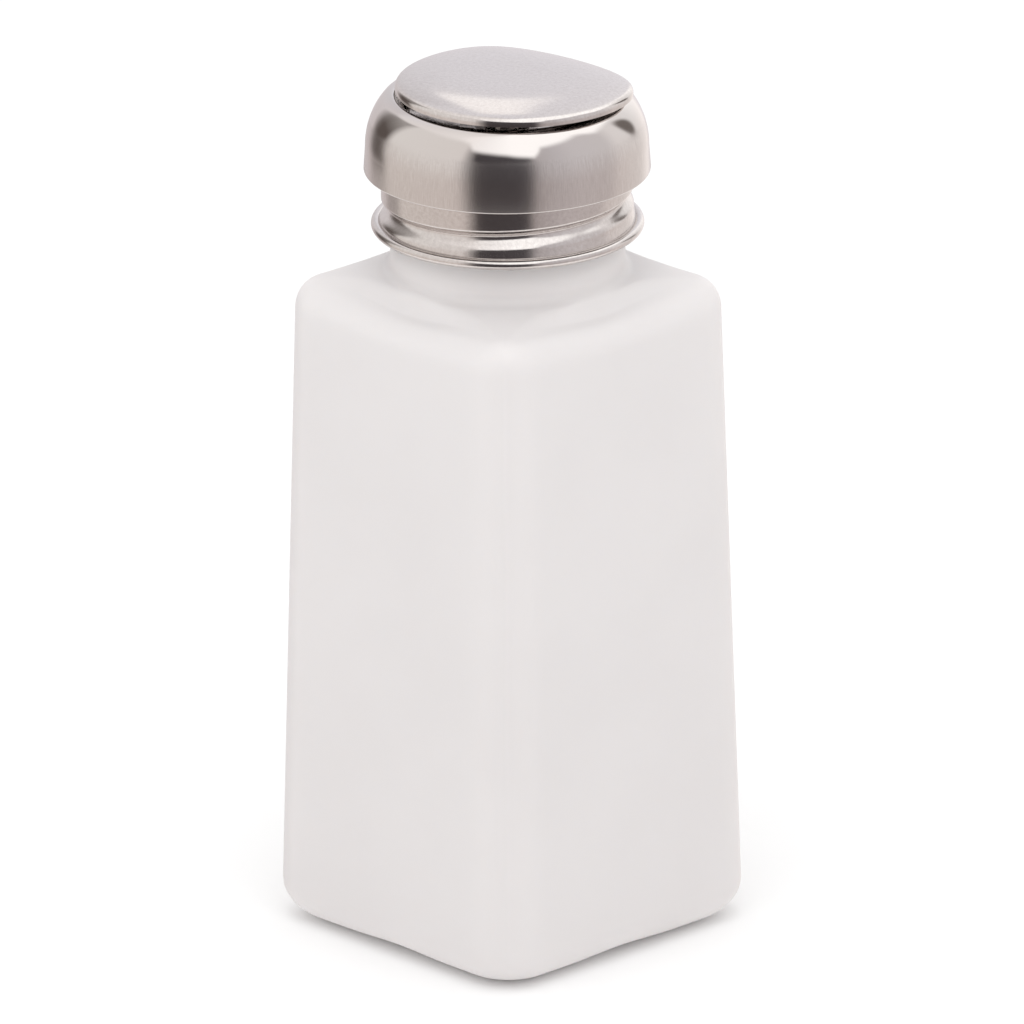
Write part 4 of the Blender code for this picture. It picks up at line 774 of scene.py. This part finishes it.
def front_angle(tree, direction):
    """A direction's bearing from the camera, as a share of a turn that starts behind it, and its height."""
    turned = add_node(tree, "ShaderNodeVectorRotate", {"rotation_type": "Z_AXIS"}, Vector=direction,
                      Angle=math.pi / 2 - CAMERA_AZIMUTH)
    parts = add_node(tree, "ShaderNodeSeparateXYZ", Vector=turned.outputs[0])
    bearing = add_node(tree, "ShaderNodeMath", {"operation": "ARCTAN2"}, i0=parts.outputs["Y"],
                       i1=parts.outputs["X"])
    height = add_node(tree, "ShaderNodeMath", {"operation": "ARCSINE"}, i0=parts.outputs["Z"])
    share = add_node(tree, "ShaderNodeMapRange", Value=bearing.outputs[0], From_Min=-math.pi,
                     From_Max=math.pi)
    degrees = add_node(tree, "ShaderNodeMath", {"operation": "DEGREES"}, i0=height.outputs[0])
    return share.outputs["Result"], degrees.outputs[0]


def at(degrees):
    """A bearing in degrees as a place on a ramp that runs from -180 to 180."""
    return (degrees + 180) / 360


def level_ramp(tree, bearing, stops):
    """A height in degrees that changes with the bearing, through stops of (bearing, height)."""
    node = add_node(tree, "ShaderNodeValToRGB", Fac=bearing)
    points = node.color_ramp.elements
    while len(points) < len(stops):
        points.new(0.5)
    for point, (degrees, level) in zip(points, stops):
        point.position = at(degrees)
        point.color = (level / 90, level / 90, level / 90, 1)
    return add_node(tree, "ShaderNodeMath", {"operation": "MULTIPLY"}, i0=node.outputs["Color"],
                    i1=90.0).outputs[0]


def share_above(tree, height, level, half_width):
    """From 0 below a level to 1 above it, softly over half_width degrees each way."""
    above = add_node(tree, "ShaderNodeMath", {"operation": "SUBTRACT"}, i0=height, i1=level).outputs[0]
    return add_node(tree, "ShaderNodeMapRange", {"interpolation_type": "SMOOTHSTEP"}, Value=above,
                    From_Min=-half_width, From_Max=half_width).outputs["Result"]


def window_share(tree, bearing, height):
    """The bright window in the tent's back wall, which the lid reflects: its left edge is sharp."""
    turned = add_node(tree, "ShaderNodeMath", {"operation": "ADD"}, i0=bearing, i1=0.5).outputs[0]
    back = add_node(tree, "ShaderNodeMath", {"operation": "FRACT"}, i0=turned).outputs[0]
    left = add_node(tree, "ShaderNodeMapRange", {"interpolation_type": "SMOOTHSTEP"}, Value=back,
                    From_Min=0.5 + (WINDOW_LEFT + WINDOW_LEFT_SOFTNESS) / 360,
                    From_Max=0.5 + WINDOW_LEFT / 360).outputs["Result"]
    right = add_node(tree, "ShaderNodeMapRange", {"interpolation_type": "SMOOTHSTEP"}, Value=back,
                     From_Min=0.5 + (WINDOW_RIGHT - WINDOW_RIGHT_SOFTNESS) / 360,
                     From_Max=0.5 + WINDOW_RIGHT / 360).outputs["Result"]
    across = add_node(tree, "ShaderNodeMath", {"operation": "MULTIPLY"}, i0=left, i1=right).outputs[0]
    top = add_node(tree, "ShaderNodeMath", {"operation": "SUBTRACT"}, i0=1.0,
                   i1=share_above(tree, height, WINDOW_TOP, WINDOW_SOFTNESS)).outputs[0]
    tall = add_node(tree, "ShaderNodeMath", {"operation": "MULTIPLY"}, i0=top,
                    i1=share_above(tree, height, WINDOW_BOTTOM, WINDOW_SOFTNESS)).outputs[0]
    return add_node(tree, "ShaderNodeMath", {"operation": "MULTIPLY"}, i0=across, i1=tall).outputs[0]


def left_patch_share(tree, bearing, height):
    """A dark upright patch of the tent's wall to the left, which fades below the horizon."""
    lean = add_node(tree, "ShaderNodeMapRange", Value=height, From_Max=LEFT_PATCH_LEAN_TOP,
                    To_Max=LEFT_PATCH_LEAN / 360).outputs["Result"]
    leaned = add_node(tree, "ShaderNodeMath", {"operation": "ADD"}, i0=bearing, i1=lean).outputs[0]
    across = ramp(tree, leaned, ((at(-149), "#000000"), (at(-139), "#F0F0F0"), (at(-134), "#FFFFFF"),
                                 (at(-121), "#FFFFFF"), (at(-113), "#000000")), "LINEAR")
    foot = share_above(tree, height, LEFT_PATCH_FOOT, LEFT_PATCH_FOOT_SOFTNESS)
    fade = add_node(tree, "ShaderNodeMapRange", Value=foot, To_Min=LEFT_PATCH_FOOT_SHARE)
    haze = add_node(tree, "ShaderNodeMapRange", Value=height, From_Min=LEFT_PATCH_HAZE_FROM,
                    From_Max=LEFT_PATCH_HAZE_TO, To_Min=1.0, To_Max=LEFT_PATCH_HAZE_SHARE)
    tall = add_node(tree, "ShaderNodeMath", {"operation": "MULTIPLY"}, i0=fade.outputs["Result"],
                    i1=haze.outputs["Result"]).outputs[0]
    return add_node(tree, "ShaderNodeMath", {"operation": "MULTIPLY"}, i0=across, i1=tall).outputs[0]


def right_patch_share(tree, bearing, height):
    """A soft dark patch of the tent's wall to the right, just above the horizon, which leans forwards."""
    up = add_node(tree, "ShaderNodeMath", {"operation": "SUBTRACT"}, i0=height,
                  i1=RIGHT_PATCH_HEIGHT).outputs[0]
    across = add_node(tree, "ShaderNodeMath", {"operation": "SUBTRACT"}, i0=bearing,
                      i1=at(RIGHT_PATCH_BEARING)).outputs[0]
    across = add_node(tree, "ShaderNodeMath", {"operation": "MULTIPLY_ADD"}, i0=up, i1=RIGHT_PATCH_LEAN / 360,
                      i2=across).outputs[0]
    across = add_node(tree, "ShaderNodeMath", {"operation": "MULTIPLY"}, i0=across,
                      i1=360 / RIGHT_PATCH_WIDTH).outputs[0]
    up = add_node(tree, "ShaderNodeMath", {"operation": "DIVIDE"}, i0=up, i1=RIGHT_PATCH_TALL).outputs[0]
    offset = add_node(tree, "ShaderNodeCombineXYZ", X=across, Y=up).outputs[0]
    away = add_node(tree, "ShaderNodeVectorMath", {"operation": "LENGTH"}, i0=offset).outputs["Value"]
    return add_node(tree, "ShaderNodeMapRange", {"interpolation_type": "SMOOTHSTEP"}, Value=away,
                    From_Min=RIGHT_PATCH_OUTER, From_Max=RIGHT_PATCH_INNER).outputs["Result"]


def build_world():
    """A light tent: even white light, and for reflections its pale walls with the open front's dark gap."""
    world = bpy.data.worlds.new("light_tent")
    bpy.context.scene.world = world
    world.use_nodes = True
    tree = world.node_tree
    tree.nodes.clear()
    direction = add_node(tree, "ShaderNodeTexCoord").outputs["Generated"]
    bearing, height = front_angle(tree, direction)
    low = ramp(tree, bearing, ((at(-180), "#CCCBD0"), (at(-168), "#C0BEC1"), (at(-150), "#C4C0C2"),
                               (at(-119), "#D2D0CE"), (at(-40), "#D0CCCA"), (at(-27), "#403C3E"),
                               (at(18), "#454245"), (at(26), "#AAA6A7"), (at(42), "#B4B1B3"),
                               (at(60), "#BEBBBD"), (at(92), "#C0BDBE"), (at(104), "#D4D1D1"),
                               (at(135), "#D9D8D8"), (at(158), "#F4F3F3"), (at(168), "#D6D5D9"),
                               (at(180), "#CCCBD0")), "LINEAR")
    high = ramp(tree, bearing, ((at(-180), "#CFCED3"), (at(-120), "#D8D5D4"), (at(-60), "#E0DDDC"),
                                (at(-45), "#ECE9E8"), (at(-25), "#F1F0F0"), (at(5), "#FFFFFF"),
                                (at(130), "#FFFFFF"), (at(165), "#D8D7DA"), (at(180), "#CFCED3")), "LINEAR")
    edge = level_ramp(tree, bearing, ((-180, 36), (-150, 36), (-135, 30), (-118, 36), (-100, 44), (-75, 47),
                                      (-50, 50), (-40, 48), (-33, 37), (-26, 35.5), (-16, 35), (-8, 34),
                                      (0, 33), (8, 30.5), (24, 27), (29, 34), (33, 42), (60, 43), (76, 45),
                                      (82, 43), (88, 38), (94, 34), (180, 36)))
    lifted = share_above(tree, height, edge, WALL_EDGE_SOFTNESS)
    lower = share_above(tree, height, SHADE_MIDDLE, SHADE_SOFTNESS)
    shade = add_node(tree, "ShaderNodeMix", {"data_type": "RGBA"}, i0=lower, i6=linear("#ECE6E3"),
                     i7=linear("#FFFFFF")).outputs[2]
    shaded = add_node(tree, "ShaderNodeMix", {"data_type": "RGBA", "blend_type": "MULTIPLY"}, i0=1.0, i6=low,
                      i7=shade).outputs[2]
    left = add_node(tree, "ShaderNodeMix", {"data_type": "RGBA"}, i0=left_patch_share(tree, bearing, height),
                    i6=shaded, i7=linear("#544D4A")).outputs[2]
    dark = add_node(tree, "ShaderNodeMix", {"data_type": "RGBA"}, i0=right_patch_share(tree, bearing, height),
                    i6=left, i7=linear("#68625F")).outputs[2]
    above_ground = share_above(tree, height, GROUND_LEVEL, GROUND_SOFTNESS)
    ground = add_node(tree, "ShaderNodeMix", {"data_type": "RGBA"}, i0=above_ground, i6=linear("#E6E3E2"),
                      i7=dark).outputs[2]
    plain = add_node(tree, "ShaderNodeMix", {"data_type": "RGBA"}, i0=lifted, i6=ground, i7=high).outputs[2]
    walls = add_node(tree, "ShaderNodeMix", {"data_type": "RGBA"}, i0=window_share(tree, bearing, height),
                     i6=plain, i7=linear("#F0EEEE"))
    rays = add_node(tree, "ShaderNodeLightPath")
    seen = add_node(tree, "ShaderNodeMix", {"data_type": "RGBA"}, i0=rays.outputs["Is Glossy Ray"],
                    i6=linear("#FFFFFF"), i7=walls.outputs[2])
    strength = add_node(tree, "ShaderNodeMapRange", Value=rays.outputs["Is Glossy Ray"], To_Min=TENT_LIGHT,
                        To_Max=TENT_IN_STEEL)
    light = add_node(tree, "ShaderNodeBackground", Color=seen.outputs[2], Strength=strength.outputs["Result"])
    add_node(tree, "ShaderNodeOutputWorld", Surface=light.outputs[0])


def build_floor():
    """A plain white floor that keeps the shadow. Reflections look through it to the tent's walls."""
    bm = bmesh.new()
    bmesh.ops.create_grid(bm, x_segments=1, y_segments=1, size=FLOOR_REACH)
    mesh = bpy.data.meshes.new("floor")
    bm.to_mesh(mesh)
    bm.free()
    floor = bpy.data.objects.new("floor", mesh)
    floor.location.z = -FLOOR_DROP
    bpy.context.scene.collection.objects.link(floor)
    material, tree, shader = new_material("white_paper")
    shader.inputs["Base Color"].default_value = linear("#FAFAFA")
    shader.inputs["Roughness"].default_value = 0.9
    shader.inputs["Specular IOR Level"].default_value = 0.0
    rays = add_node(tree, "ShaderNodeLightPath")
    glow = add_node(tree, "ShaderNodeEmission", Strength=rays.outputs["Is Camera Ray"],
                    Color=(FLOOR_GLOW, FLOOR_GLOW, FLOOR_GLOW, 1))
    lit = add_node(tree, "ShaderNodeAddShader", i0=shader.outputs[0], i1=glow.outputs[0])
    clear = add_node(tree, "ShaderNodeBsdfTransparent")
    surface = add_node(tree, "ShaderNodeMixShader", i0=rays.outputs["Is Glossy Ray"], i1=lit.outputs[0],
                       i2=clear.outputs[0])
    tree.links.new(surface.outputs[0], tree.nodes["Material Output"].inputs["Surface"])
    mesh.materials.append(material)


def build_lamp():
    """One broad soft lamp overhead and to the front, for a trace of shape in the even light."""
    lamp = bpy.data.lights.new("overhead_softbox", "AREA")
    lamp.shape = "DISK"
    lamp.size = LAMP_SIZE
    lamp.energy = LAMP_POWER
    holder = bpy.data.objects.new("overhead_softbox", lamp)
    holder.location = LAMP_PLACE
    holder.rotation_euler = (LAMP_AIM - LAMP_PLACE).to_track_quat("-Z", "Y").to_euler()
    holder.visible_glossy = False
    bpy.context.scene.collection.objects.link(holder)


def build_camera():
    back = Vector((math.sin(CAMERA_AZIMUTH) * math.cos(CAMERA_ELEVATION),
                   -math.cos(CAMERA_AZIMUTH) * math.cos(CAMERA_ELEVATION), math.sin(CAMERA_ELEVATION)))
    right = Vector((math.cos(CAMERA_AZIMUTH), math.sin(CAMERA_AZIMUTH), 0))
    aim = Vector((0, 0, AIM_HEIGHT)) + right * AIM_RIGHT
    data = bpy.data.cameras.new("photo_camera")
    data.sensor_width = SENSOR_WIDTH
    data.lens = CAMERA_LENS
    data.clip_end = FAR_CLIP
    camera = bpy.data.objects.new("photo_camera", data)
    facing = (-back).to_track_quat("-Z", "Y").to_matrix()
    roll = Matrix.Rotation(-CAMERA_ROLL, 3, "Z")
    camera.matrix_world = Matrix.Translation(aim + back * CAMERA_DISTANCE) @ (facing @ roll).to_4x4()
    bpy.context.scene.collection.objects.link(camera)
    bpy.context.scene.camera = camera


def build_pieces():
    plastic = polyethylene()
    place_piece("bottle_shell", bottle_mesh(), plastic, "bottle", ["bottle"])
    place_piece("neck_thread_ridge", thread_mesh(), plastic, "bottle")

    cap = Matrix.Rotation(CAP_TURN, 4, "Z")
    pin = Vector((0, PIN_REACH, PIN_HEIGHT))
    ajar = Matrix.Rotation(-LID_REST_LIFT, 4, "X")
    lid = cap @ Matrix.Translation(pin) @ ajar @ Matrix.Translation(-pin)
    # Rolling leaves the collar smooth, the dome's skirt keeps its brush lines, and the lid is satin-smooth.
    collar_finish = stainless("rolled_stainless_collar", 0.17, grain=0.12)
    dome_finish = stainless("brushed_stainless_dome", 0.20, lines=True, polished_above=POLISH_HEIGHT,
                            smooth=0.09)
    lid_finish = stainless("satin_stainless_lid", 0.12, grain=0.04)
    place_piece("collar_shell", collar_mesh(), collar_finish, "cap", ["threaded_collar"], cap)
    place_piece("dome_shell", dome_mesh(), dome_finish, "cap", ["dome_ring"], cap)
    place_piece("lid_shell", lid_mesh(), lid_finish, "lid", ["lid_disc"], lid)

    # Foam and rubber are dull, the tube has a soft sheen, acetal is milky and slick, and wire is bright.
    finishes = {
        "neck_gasket": plain_finish("foamed_polyethylene_liner", "#D8D6D0", 0.8),
        "dip_tube": plain_finish("extruded_polyethylene_tube", "#E4E2DC", 0.45),
        "stem_o_ring": plain_finish("black_nitrile_rubber", "#1C1C1C", 0.6),
        "piston_seal": plain_finish("black_nitrile_rubber_seal", "#1E1E1E", 0.6),
    }
    acetal = plain_finish("white_acetal", "#E6E5DF", 0.38)
    bright = plain_finish("drawn_stainless_wire", "#CFCBC6", 0.2, metal=1.0)
    for name in ("pump_barrel", "barrel_nut", "guide_bushing", "inlet_valve_seat", "inlet_ball_cage",
                 "dish_hub", "piston"):
        finishes[name] = acetal
    for name in ("return_spring", "inlet_ball", "outlet_ball", "hinge_pin", "barrel_washer"):
        finishes[name] = bright
    for name in ("well_cup", "hinge_bracket", "lid_leaf", "pump_dish", "outlet_cap", "plunger_stem"):
        finishes[name] = lid_finish
    for name, finish in finishes.items():
        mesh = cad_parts[name].data
        mesh.materials.clear()
        mesh.materials.append(finish)
        mesh.shade_smooth()
        mesh.set_sharp_from_angle(angle=math.radians(SHARP_EDGE))

    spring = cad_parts["return_spring"]
    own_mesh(spring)


def main():
    bpy.context.scene.view_settings.view_transform = "Standard"
    build_pieces()
    build_floor()
    build_world()
    build_lamp()
    build_camera()


main()
